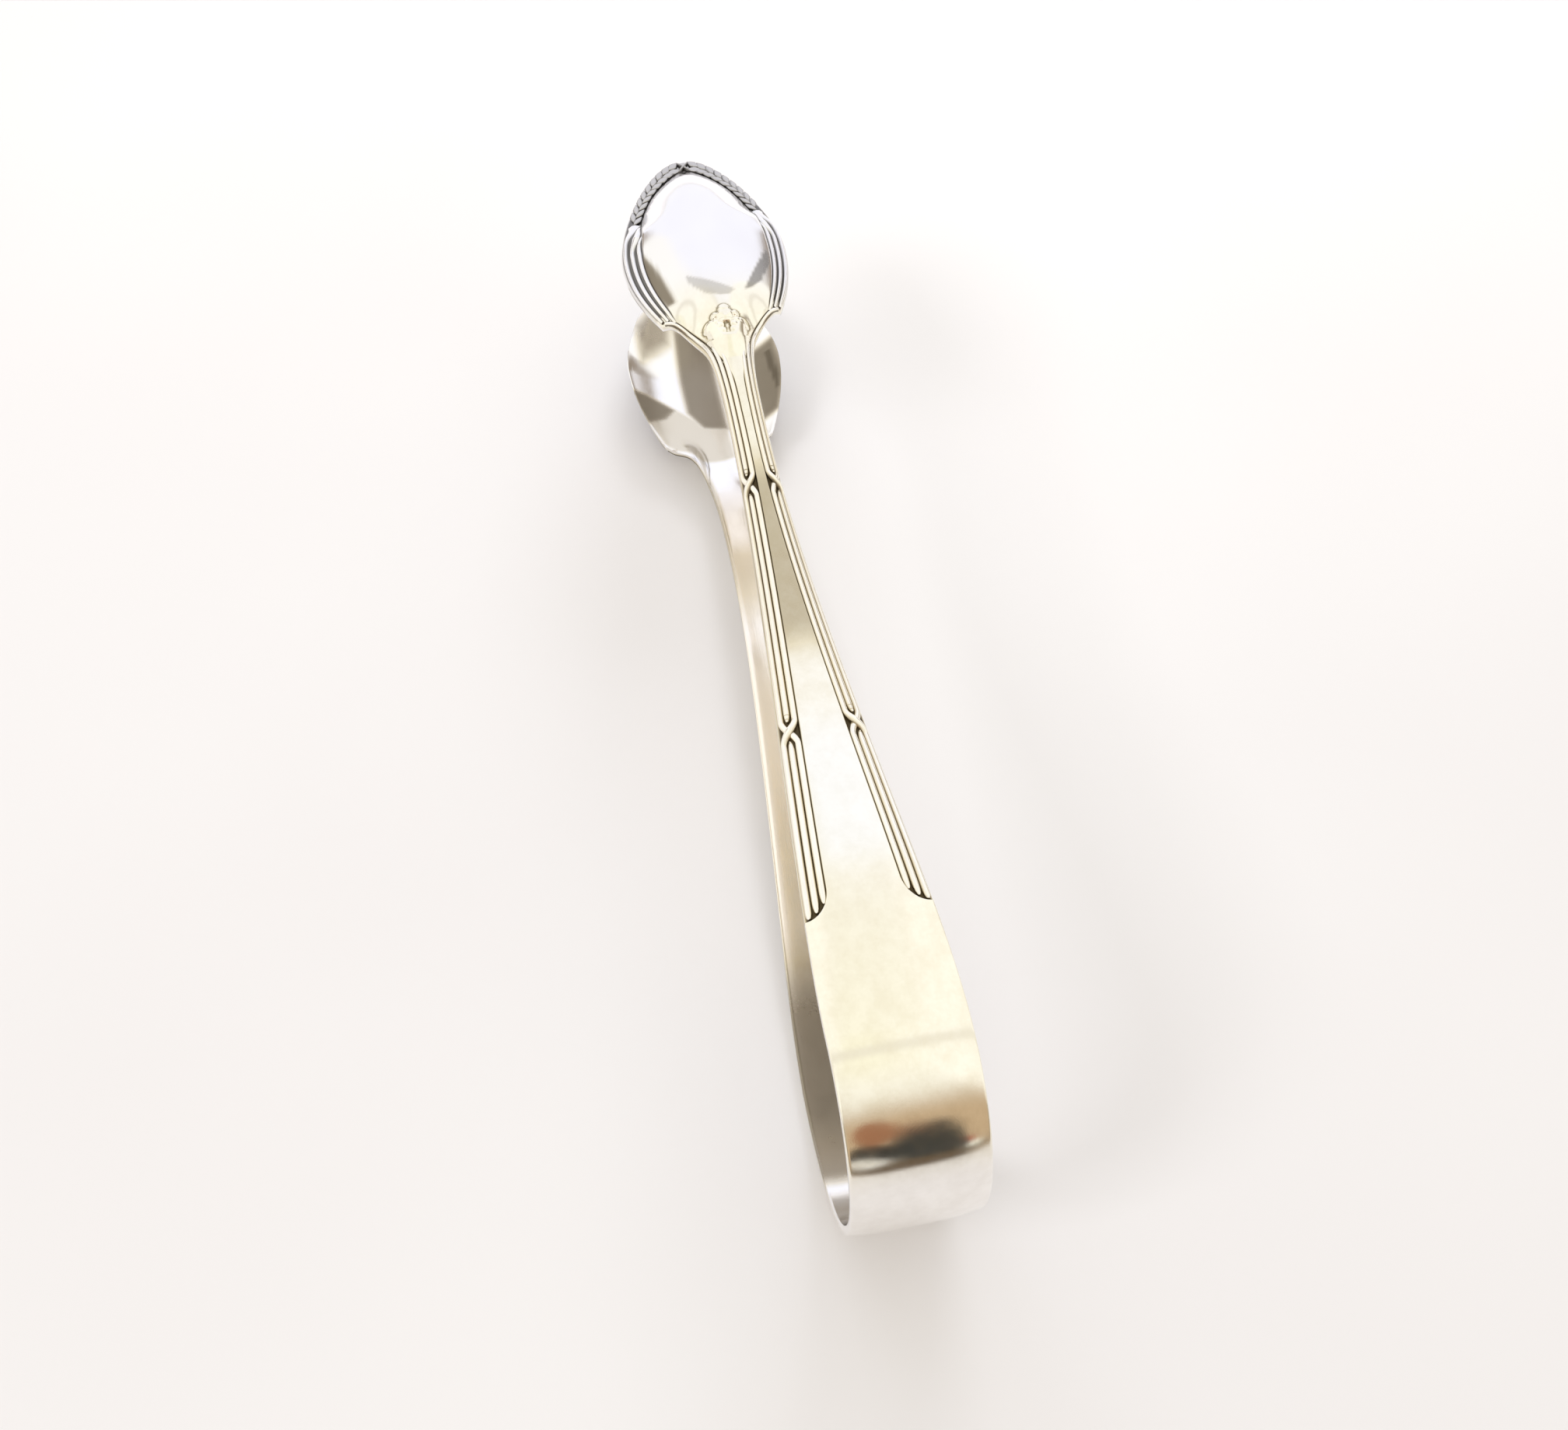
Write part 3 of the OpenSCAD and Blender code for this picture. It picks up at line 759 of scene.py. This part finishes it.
def section_points(x):
    """Points round the strip at each station, outer face first, with their tarnish and painted light, and
    their polish, which on the outer face holds the painted brown reflection.
    """
    w = half_width(x)[:, None]
    half = column_places(x)
    y_out = np.hstack([half, -half[:, -2::-1]])
    xs = np.repeat(x[:, None], y_out.shape[1], 1)
    relief, past = strip_relief(xs, y_out)
    gap = edge_gap(xs, y_out)
    z_out = outer_z(xs, y_out) + relief - edge_fall(gap)
    half_in = w*(1 - INNER_STEPS)
    y_in = np.hstack([-half_in, half_in[:, -2::-1]])
    xi = np.repeat(x[:, None], y_in.shape[1], 1)
    z_in = inner_z(xi, y_in) + edge_fall(w - np.abs(y_in))
    points = np.stack([np.hstack([xs, xi]), np.hstack([y_out, y_in]), np.hstack([z_out, z_in])], -1)
    # Patina in the channel, deepened as painted shade: lighter near the outline, past the shoulder, on the
    # leaf border and at the shoulder's corner.
    groove = smooth((past + 0.1)/0.12)*(xs > PANEL_FROM)
    groove *= mix(0.2, 1, smooth((gap - 0.05)/0.25))
    groove *= mix(1, 0.8, ramp(xs, SHOULDER_AT, SHOULDER_AT + 3))
    at_tip = ramp(xs, FLANGE_TO + 0.6, FLANGE_TO + 2)
    groove *= mix(1, 0.45, at_tip*smooth((past - 0.05)/0.2))
    corner = np.hypot(xs - SHOULDER_AT - 0.2, np.abs(y_out) - SHOULDER_WIDTH/2 + 0.3)
    groove *= mix(0.12, 1, smooth((corner - 0.9)/0.7))
    dark = np.hstack([np.maximum(groove, field_reflections_and_shade(xs, y_out)), inner_shade_and_reflections(xi, y_in)])
    # On the outer face this is the painted brown reflection on the bowl; on the inner face it is full polish.
    polish_and_brown_patch = np.hstack([painted_patch(BROWN, xs, y_out, BROWN_EDGE), 0*xi + 1])
    return points, dark, polish_and_brown_patch


print("a section's points at the neck", section_points(np.array([NECK_AT]))[0].shape)

# %% [markdown]
# A few helpers serve every piece: they name it, read and move its points, store a number for each
# point, fill its open ends, and turn its faces outwards.


# %% Helpers for a mesh
def named(name):
    """Names the piece that was just made."""
    piece = bpy.context.object
    piece.name = piece.data.name = name
    return piece


def points_of(piece, what="co"):
    """The places of a piece's points in metres, or their normals, one row for each."""
    values = np.empty(len(piece.data.vertices)*3)
    piece.data.vertices.foreach_get(what, values)
    return values.reshape(-1, 3)


def set_points(piece, points):
    piece.data.vertices.foreach_set("co", to_frame(points).ravel())
    piece.data.update()


def give(piece, name, values):
    store = piece.data.attributes.get(name) or piece.data.attributes.new(name, "FLOAT", "POINT")
    store.data.foreach_set("value", np.asarray(values, np.float32))


def layer_of(piece, name):
    values = np.empty(len(piece.data.vertices), np.float32)
    piece.data.attributes[name].data.foreach_get("value", values)
    return values


def open_mesh():
    bpy.ops.object.mode_set(mode="EDIT")
    bpy.ops.mesh.select_all(action="SELECT")


def fill_ends():
    bpy.ops.mesh.select_all(action="DESELECT")
    bpy.ops.mesh.select_mode(type="EDGE")
    bpy.ops.mesh.select_non_manifold()
    bpy.ops.mesh.edge_face_add()


def close_faces(sharp):
    """Turns all faces outwards, leaves edit mode and shades smooth across edges below an angle."""
    bpy.ops.mesh.select_all(action="SELECT")
    bpy.ops.mesh.normals_make_consistent(inside=False)
    bpy.ops.object.mode_set(mode="OBJECT")
    bpy.ops.object.shade_smooth_by_angle(angle=math.radians(sharp))


print("floor corners in metres", points_of(floor).round(1).tolist())

# %% Arm and bowl
STRIP_SHARP = 50


def strip_piece(name, rows):
    bpy.ops.mesh.primitive_grid_add(x_subdivisions=len(rows) - 1, y_subdivisions=RING, size=2)
    piece = named(name)
    flat = points_of(piece)
    row = np.rint((flat[:, 0] + 1)/2*(len(rows) - 1)).astype(int)
    column = np.rint((flat[:, 1] + 1)/2*RING).astype(int) % RING
    points, dark, polish_and_brown_patch = section_points(rows)
    set_points(piece, points[row, column])
    give(piece, "tarnish_and_painted_shade", dark[row, column])
    give(piece, "polish_and_brown_reflection", polish_and_brown_patch[row, column])
    open_mesh()
    bpy.ops.mesh.remove_doubles(threshold=1e-8)
    fill_ends()
    close_faces(STRIP_SHARP)
    print(name, len(piece.data.polygons), "faces")
    return piece


def steps(a, b, size):
    return np.linspace(a, b, max(2, round((b - a)/size) + 1))[:-1]


HOLD = 0.02
arm_stations = np.concatenate([
    [BOW_RADIUS], steps(BOW_RADIUS + HOLD, PANEL_FROM - 3, 0.5), steps(PANEL_FROM - 3, PANEL_FROM, 0.2),
    steps(PANEL_FROM, PANEL_FROM + PANEL_ROUND + 0.4, 0.06),
    steps(PANEL_FROM + PANEL_ROUND + 0.4, NECK_AT - HOLD, 0.5), [NECK_AT - HOLD, NECK_AT]])
egg_front = bezier((WIDEST_AT, 0), (WIDEST_AT + 0.345*TIP_RUN, 0), (LENGTH, 0), (LENGTH, 0), 120)[:, 0]
bowl_stations = np.unique(np.round(np.concatenate([
    [NECK_AT], steps(NECK_AT + HOLD, 109, 0.25), steps(109, 116.6, 0.08), steps(116.6, WIDEST_AT, 0.25),
    egg_front, steps(DISH_TO - 0.4, DISH_TO + 0.3, 0.04)]), 4))
arm_upper = strip_piece("arm_upper", arm_stations)
bowl_upper = strip_piece("bowl_upper", bowl_stations)

# %% [markdown]
# The bow is the same section swung a quarter turn about the tongs' cross axis, so it is spun. It is made
# in two quarters, one for each arm. A very thin first and last step hold the shading
# straight where the bow runs on.

# %% Bow
bpy.ops.mesh.primitive_circle_add(vertices=RING, radius=0.01)
bow_upper = named("bow_upper")
set_points(bow_upper, section_points(np.array([BOW_RADIUS]))[0][0])
axle = to_frame([BOW_RADIUS, 0, 0])
open_mesh()
for turn, count in ((0.05, 1), (89.9, 72), (0.05, 1)):
    bpy.ops.mesh.spin(steps=count, angle=math.radians(turn), center=axle, axis=(0, 1, 0))
fill_ends()
close_faces(STRIP_SHARP)
place = from_frame(points_of(bow_upper)) - [BOW_RADIUS, 0, 0]
inside = smooth((BOW_RADIUS - 0.6 - np.hypot(place[:, 0], place[:, 2]))/0.5)
# Painted shade on the inside of the bow, where it runs into the arms.
give(bow_upper, "tarnish_and_painted_shade", BOW_INSIDE_SHADE*ramp(np.abs(place[:, 2]), 12.4, 14.2)*inside)
give(bow_upper, "polish_and_brown_reflection", inside)
print("bow_upper", len(bow_upper.data.polygons), "faces", [round(1000*v, 2) for v in bow_upper.bound_box[0]])

# %% [markdown]
# Reeds are round strands side by side, sunk a little into the channel. At each tie the outer and the
# inner strand change places, one passing over the other, and the middle one comes to a point on both
# sides. Bevelled curves suit them: the line says where a strand runs and each point says how thick it is.


# %% Lines of the reeds
def section_reach(x, share):
    """Plan distance from the edge, and the whole length over the face, at a share of the reeds' width."""
    w = half_width(x)
    fine = np.linspace(0, 1, 60)
    y = w[:, None] - reed_span(x)[:, None]*fine
    z = outer_z(np.repeat(x[:, None], len(fine), 1), y)
    run = np.concatenate([np.zeros((len(x), 1)), np.cumsum(np.hypot(np.diff(y), np.diff(z)), 1)], 1)
    place = np.array([np.interp(s*r[-1], r, w0 - yy) for s, r, w0, yy in zip(share, run, w, y)])
    return place, run[:, -1]


def beside(line, x, inset):
    """Plan points at an inset from a line of the outline."""
    inner = inward(line)
    nx = np.interp(x, line[:, 0], inner[:, 0])
    ny = np.interp(x, line[:, 0], inner[:, 1])
    return x + nx*inset, np.interp(x, line[:, 0], line[:, 1]) + ny*inset


def lay_strand(px, py, radius, lift, side):
    """Points of a strand over plan points of the face, its top at a height over it."""
    n = outer_normal(px, py)
    p = np.stack([px, py, outer_z(px, py)], -1) + n*(lift - radius)[:, None]
    p[:, 1] *= side
    return p


def strand(points, radius):
    """A bevelled curve through the points, turned into a mesh."""
    data = bpy.data.curves.new("strand", "CURVE")
    data.dimensions = "3D"
    data.bevel_depth = MM
    data.bevel_resolution = 5
    data.use_fill_caps = True
    spline = data.splines.new("POLY")
    spline.points.add(len(points) - 1)
    spline.points.foreach_set("co", np.hstack([to_frame(points), np.ones((len(points), 1))]).ravel())
    spline.points.foreach_set("radius", np.asarray(radius, np.float32))
    made = bpy.data.objects.new("strand", data)
    bpy.context.scene.collection.objects.link(made)
    bpy.ops.object.select_all(action="DESELECT")
    made.select_set(True)
    bpy.context.view_layer.objects.active = made
    bpy.ops.object.convert(target="MESH")
    return bpy.context.object


def taper(x, start, end, run):
    """Rounds a strand's thickness off towards both its ends."""
    near = np.clip(np.minimum(x - start, end - x)/run, 0, 1)
    return np.sqrt(1 - (1 - near)**2)*0.97 + 0.03


print("width of the reeds along an arm", reed_span(np.array([40.0, 70.0, NECK_AT])).round(2))

# %% [markdown]
# An arm's edge has two strands that swap sides at both ties, and a middle one in three lengths. One of
# the two runs on alone along the flare, as a thin bead.

# %% Strands of an arm
FILL = 0.95
LIFT = 0.13
FLARE_RADIUS = 0.36
OUTSIDE_TO, INSIDE_TO, MIDDLE_TO = 114.9, 107.6, 109.4


def arm_x(a, b):
    fine = [np.arange(t - TIE_LENGTH/2 - 0.6, t + TIE_LENGTH/2 + 0.6, 0.12) for t in TIE_AT]
    ends = [np.linspace(a, a + 1.5, 16), np.linspace(b - 2.5, b, 24)]
    x = np.unique(np.concatenate([np.arange(a, b, 0.5), [b], *fine, *ends]))
    return x[(x >= a) & (x <= b)]


def tie_turn(x):
    """For each tie, a run from -1 to 1 through it."""
    return [np.clip((x - t)/(TIE_LENGTH/2), -1, 1) for t in TIE_AT]


def strand_share(x, starts_outside):
    """The strand's place across the reeds, swapping sides at each tie."""
    first, second = (smooth((u + 1)/2) for u in tie_turn(x))
    share = mix(1/6, 5/6, first - second)
    return share if starts_outside else 1 - share


def crossing_lift(x, starts_outside):
    """1 where a strand passes over the other and -1 where it passes under, with 0 away from the ties."""
    over = (1, -1) if starts_outside else (-1, 1)
    return sum(o*np.cos(np.pi/2*u)**2*(np.abs(u) < 1) for o, u in zip(over, tie_turn(x)))


def reeds_of_arm(side):
    made = []
    for starts_outside, start, end in ((True, PANEL_FROM + 0.25, OUTSIDE_TO),
                                       (False, PANEL_FROM + 1.75, INSIDE_TO)):
        x = arm_x(start, end)
        share = strand_share(x, starts_outside)
        inset, run = section_reach(x, share)
        flare = ramp(x, 108, 112)
        inset = mix(inset, FLARE_TRIM/2, flare)
        blunt = taper(x, start, end + 4, 1.0) if starts_outside else taper(x, start, end, 1.8)
        bump = crossing_lift(x, starts_outside)
        radius = FILL*mix(run/6, FLARE_RADIUS, flare)*blunt*(1 + 0.22*np.abs(bump))
        lift = LIFT*run/REED_SPAN[0] + np.where(bump > 0, 0.26, 0.08)*bump
        made.append((lay_strand(*beside(OUTLINE, x, inset), radius, lift, side), radius))
    gap = TIE_LENGTH*0.39
    breaks = [PANEL_FROM + 0.8, TIE_AT[0] - gap, TIE_AT[0] + gap, TIE_AT[1] - gap, TIE_AT[1] + gap, MIDDLE_TO]
    for start, end in zip(breaks[::2], breaks[1::2]):
        x = arm_x(start, end)
        inset, run = section_reach(x, np.full(len(x), 0.5))
        radius = FILL*run/6*taper(x, start, end, 1.5)
        made.append((lay_strand(*beside(OUTLINE, x, inset), radius, LIFT*run/REED_SPAN[0], side), radius))
    return made


print("strands on an arm's edge", len(reeds_of_arm(1)))

# %% [markdown]
# A flange has three strands from the shoulder on. The inner two taper away before the leaf border, and
# the outer one widens in their place.

# %% Strands of a flange
FLANGE_ENDS = (135.5, 134.4, 131.7)
FLANGE_FILL = 0.84
FLANGE_RISE = 0.36
before_egg = EGG_LINE[0] + (EGG_LINE[1] - EGG_LINE[0])*np.linspace(-22, -1, 22)[:, None]
FLANGE_LINE = np.vstack([before_egg, EGG_LINE])


def reeds_of_flange(side):
    made = []
    for k, end in enumerate(FLANGE_ENDS):
        x = np.linspace(FLANGE_LINE[0, 0], end, 240)
        wide = egg_trim(x)
        first_line = mix(wide/3, wide, ramp(x, 130.5, 134.9)**1.3)
        second_line = mix(wide*2/3, wide, ramp(x, 128, 132)**1.3)
        lines = [0*x, first_line, second_line, wide]
        half = FLANGE_FILL*(lines[k + 1] - lines[k])/2
        px, py = beside(FLANGE_LINE, x, (lines[k] + lines[k + 1])/2)
        flare_y = np.interp(px, ARM_LINE[:, 0], ARM_LINE[:, 1], right=99)
        clear = (distance_to(ARM_LINE[-120:], px, py) > 0.5) & (py < flare_y)
        first = np.argmax(clear)
        x, px, py, half = x[first:], px[first:], py[first:], half[first:]
        ends = np.minimum(taper(x, x[0] - 0.4, end + 9, 0.8), taper(x, x[0] - 9, end, 1.3))
        radius = (half**2 + FLANGE_RISE**2)/(2*FLANGE_RISE)*ends
        lift = mix(-0.15, 0.14, ends*ramp(half, 0, 0.3))
        made.append((lay_strand(px, py, radius, lift, side), radius))
    return made


print("strands on a flange", len(reeds_of_flange(1)))

# %% [markdown]
# All strands are joined into one piece. Patina with painted shade darkens it where the strands turn away into
# the grooves, more towards the neck, and its hidden underside is pressed flat, so that it doesn't come
# through the thin metal.

# %% Reeding
RELIEF_SHARP = 60
REED_DEPTH = 0.45


def join(name, parts):
    bpy.ops.object.select_all(action="DESELECT")
    for part in parts:
        part.select_set(True)
    bpy.context.view_layer.objects.active = parts[0]
    bpy.ops.object.join()
    bpy.ops.object.shade_smooth_by_angle(angle=math.radians(RELIEF_SHARP))
    return named(name)


def facing_out(piece):
    """For each point of a piece, how squarely its surface faces out of the strip, and its place along it."""
    x, y, _ = from_frame(points_of(piece)).T
    return (points_of(piece, "normal")*outer_normal(x, y)).sum(1), x


reeds = [strand(*s) for side in (1, -1) for s in reeds_of_arm(side) + reeds_of_flange(side)]
reeding_upper = join("reeding_upper", reeds)
facing, along_x = facing_out(reeding_upper)
on_flange = ramp(along_x, SHOULDER_AT - 1, SHOULDER_AT + 2)
line = mix(0.42, 0.85, ramp(along_x, 58, 86))
steepness = smooth((mix(0.88, 0.8, on_flange) - facing)/mix(0.38, 0.48, on_flange))
give(reeding_upper, "tarnish_and_painted_shade", line*steepness)
give(reeding_upper, "polish_and_brown_reflection", 0.4*(1 - on_flange))
place = from_frame(points_of(reeding_upper))
deepest = REED_DEPTH*np.where(place[:, 0] > SHOULDER_AT, 0.7, 1)
place[:, 2] = np.maximum(place[:, 2], outer_z(place[:, 0], place[:, 1]) - deepest)
set_points(reeding_upper, place)
print("reeding", len(reeding_upper.data.polygons), "faces")

# %% [markdown]
# The palmette is a low relief: a trefoil on top, and two heart-shaped lobes that grow out of the stem.
# A die pressed it in one stroke, so here too it is one sheet: a fine grid laid over the face and raised
# where the plan has a lobe, with rounded edges. Extruding the sheet downwards closes it.


# %% Palmette
def pillow(gap, rise, edge):
    """A flat top with a rounded edge inside the outline, sunk a little outside it."""
    inside = np.clip(1 + gap/edge, 0, 1)
    return np.where(gap < 0, rise*np.sqrt(1 - inside**2), -np.minimum(0.15, 2*np.maximum(gap, 0)))


def palmette_height(x, y):
    grown = ramp(x, 106.0, STEM_TO)
    lobes = pillow(lobe_gap(x, y), 0.42, 0.75)*np.where(lobe_gap(x, y) < 0, grown, 1) - 0.04*(1 - grown)
    vein = 0.2*smooth(1 - disc_gap(VEIN, x, y)/0.15)
    return np.maximum(pillow(disc_gap(TREFOIL, x, y), 0.5, 0.8), lobes) - vein, vein


SHEET_MIDDLE = 110.5
SHEET_HALF = (4.9, 3.45)
SHEET_DEPTH = 0.55
bpy.ops.mesh.primitive_grid_add(x_subdivisions=120, y_subdivisions=88, size=2)
palmette_upper = named("palmette_upper")
flat = points_of(palmette_upper)
px = SHEET_MIDDLE + SHEET_HALF[0]*flat[:, 0]
beside_stem = mix(inner_line(px) + 0.1, half_width(px) - 0.25, ramp(px, 109.5, 111))
py = np.minimum(SHEET_HALF[1], beside_stem)*flat[:, 1]
rise, vein = palmette_height(px, py)
set_points(palmette_upper, np.stack([px, py, outer_z(px, py) + rise], -1))
# The vein's groove is darkened, and painted shade falls on the lobes' sides that turn away.
give(palmette_upper, "tarnish_and_painted_shade", 2.6*vein)
open_mesh()
bpy.ops.mesh.extrude_region_move(TRANSFORM_OT_translate={"value": (0, 0, -SHEET_DEPTH*MM)})
close_faces(RELIEF_SHARP)
facing, _ = facing_out(palmette_upper)
dark = layer_of(palmette_upper, "tarnish_and_painted_shade") + 0.6*smooth((0.7 - facing)/0.4)
give(palmette_upper, "tarnish_and_painted_shade", np.minimum(0.8, dark))
print("palmette", len(palmette_upper.data.polygons), "faces")

# %% [markdown]
# Round the tip runs a laurel border: slim pointed leaves in two rows, all pointing at the tip, with a
# crossed ribbon where the rows meet. One leaf is a pressed sphere, set again and again along the border.


# %% Leaf border
def press(name, count_round, count_up, outline, place):
    """A sphere pressed to a leaf shape and laid on the face: outline gives its half-width along it."""
    bpy.ops.mesh.primitive_uv_sphere_add(segments=count_round, ring_count=count_up, radius=1)
    leaf = named(name)
    u, v, h = points_of(leaf).T
    cx, cy, a, b, c, turn = place
    cos, sin = math.cos(math.radians(turn)), math.sin(math.radians(turn))
    u, v = a*u, b*v*outline(u)
    x, y = cx + u*cos - v*sin, cy + u*sin + v*cos
    z = outer_z(x, y) + c*np.maximum(h, -0.35) - 0.04
    set_points(leaf, np.stack([x, y, z], -1))
    return leaf


def pointed(u):
    return 1.15*(1 - 0.85*np.abs(u)**1.6)


LEAF_PITCH = 1.45
LEAF_LEAN, RIBBON_LEAN = 22, 40
border_s = np.concatenate([[0], np.cumsum(np.hypot(*np.diff(EGG_LINE, axis=0).T))])
border_from = np.interp(FLANGE_TO + 1.3, EGG_LINE[:, 0], border_s)
leaf_at = np.arange(border_s[-1] - 1.1, border_from, -LEAF_PITCH)
leaves = []
for side in (1, -1):
    for s in leaf_at:
        for share, lean in ((0.30, LEAF_LEAN), (0.70, -LEAF_LEAN)):
            x0 = np.interp(s - (0.6 if lean < 0 else 0), border_s, EGG_LINE[:, 0])
            wide = float(egg_trim(x0))
            px, py = beside(EGG_LINE, np.array([x0 - 0.02, x0]), share*wide)
            heading = math.degrees(math.atan2(py[1] - py[0], px[1] - px[0])) + lean
            leaves.append(press("leaf", 12, 8, pointed,
                                (px[1], side*py[1], 1.05, 0.21*wide, 0.17, side*heading)))
for lean in (RIBBON_LEAN, -RIBBON_LEAN):
    leaves.append(press("ribbon", 16, 10, np.ones_like, (LENGTH - 1.35, 0, 1.3, 0.22, 0.36, lean)))
leaf_border_upper = join("leaf_border_upper", leaves)
facing, _ = facing_out(leaf_border_upper)
# An even darkening over the leaves, and painted shade on their sides that turn away.
give(leaf_border_upper, "tarnish_and_painted_shade", 0.34 + 0.3*smooth((0.97 - facing)/0.2))
print("leaves", len(leaves), "faces", len(leaf_border_upper.data.polygons))

# %% [markdown]
# All upper pieces get the one finish. The lower half is then the upper one seen in a mirror at the middle
# plane, as the two dies were. Each copy gets its own mesh, and its faces are turned back outwards.


# %% Lower half
def mirrored(piece, name):
    twin = piece.copy()
    twin.data = piece.data.copy()
    twin.name = twin.data.name = name
    bpy.context.scene.collection.objects.link(twin)
    twin.data.transform(Matrix.Translation((0, 0, 2*BOW_RADIUS*MM)) @ Matrix.Scale(-1, 4, (0, 0, 1)))
    twin.data.flip_normals()
    return twin


halves = {"upper": [arm_upper, bowl_upper, reeding_upper, palmette_upper, leaf_border_upper]}
for piece in (bow_upper, *halves["upper"]):
    piece.data.materials.append(silver)
halves["lower"] = [mirrored(p, p.name.replace("upper", "lower")) for p in halves["upper"]]
bow_lower = mirrored(bow_upper, "bow_lower")
print("lower half", [p.name for p in halves["lower"]])

# %% [markdown]
# The lower inside keeps its darkening and painted shade. On the upper inside of the bow and arm they are
# taken away.

# %% Upper inside without painted shade
for piece in (bow_upper, arm_upper):
    inside = layer_of(piece, "polish_and_brown_reflection")
    give(piece, "tarnish_and_painted_shade", layer_of(piece, "tarnish_and_painted_shade")*(1 - inside))
    print(piece.name, "inside points", int((inside > 0.5).sum()))

# %% [markdown]
# Each piece now rides on its jaw, and the solids it stands for are hidden. The two quarters of the bow
# take the place of the spring bow's solid.

# %% Bodies
for side, pieces in halves.items():
    for piece in pieces:
        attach(piece, side + "_jaw")
    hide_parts(side + "_arm")
    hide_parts(side + "_bowl")
for bow, side, sign in ((bow_upper, "upper", 1), (bow_lower, "lower", -1)):
    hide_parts("spring_bow")
    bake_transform(bow)
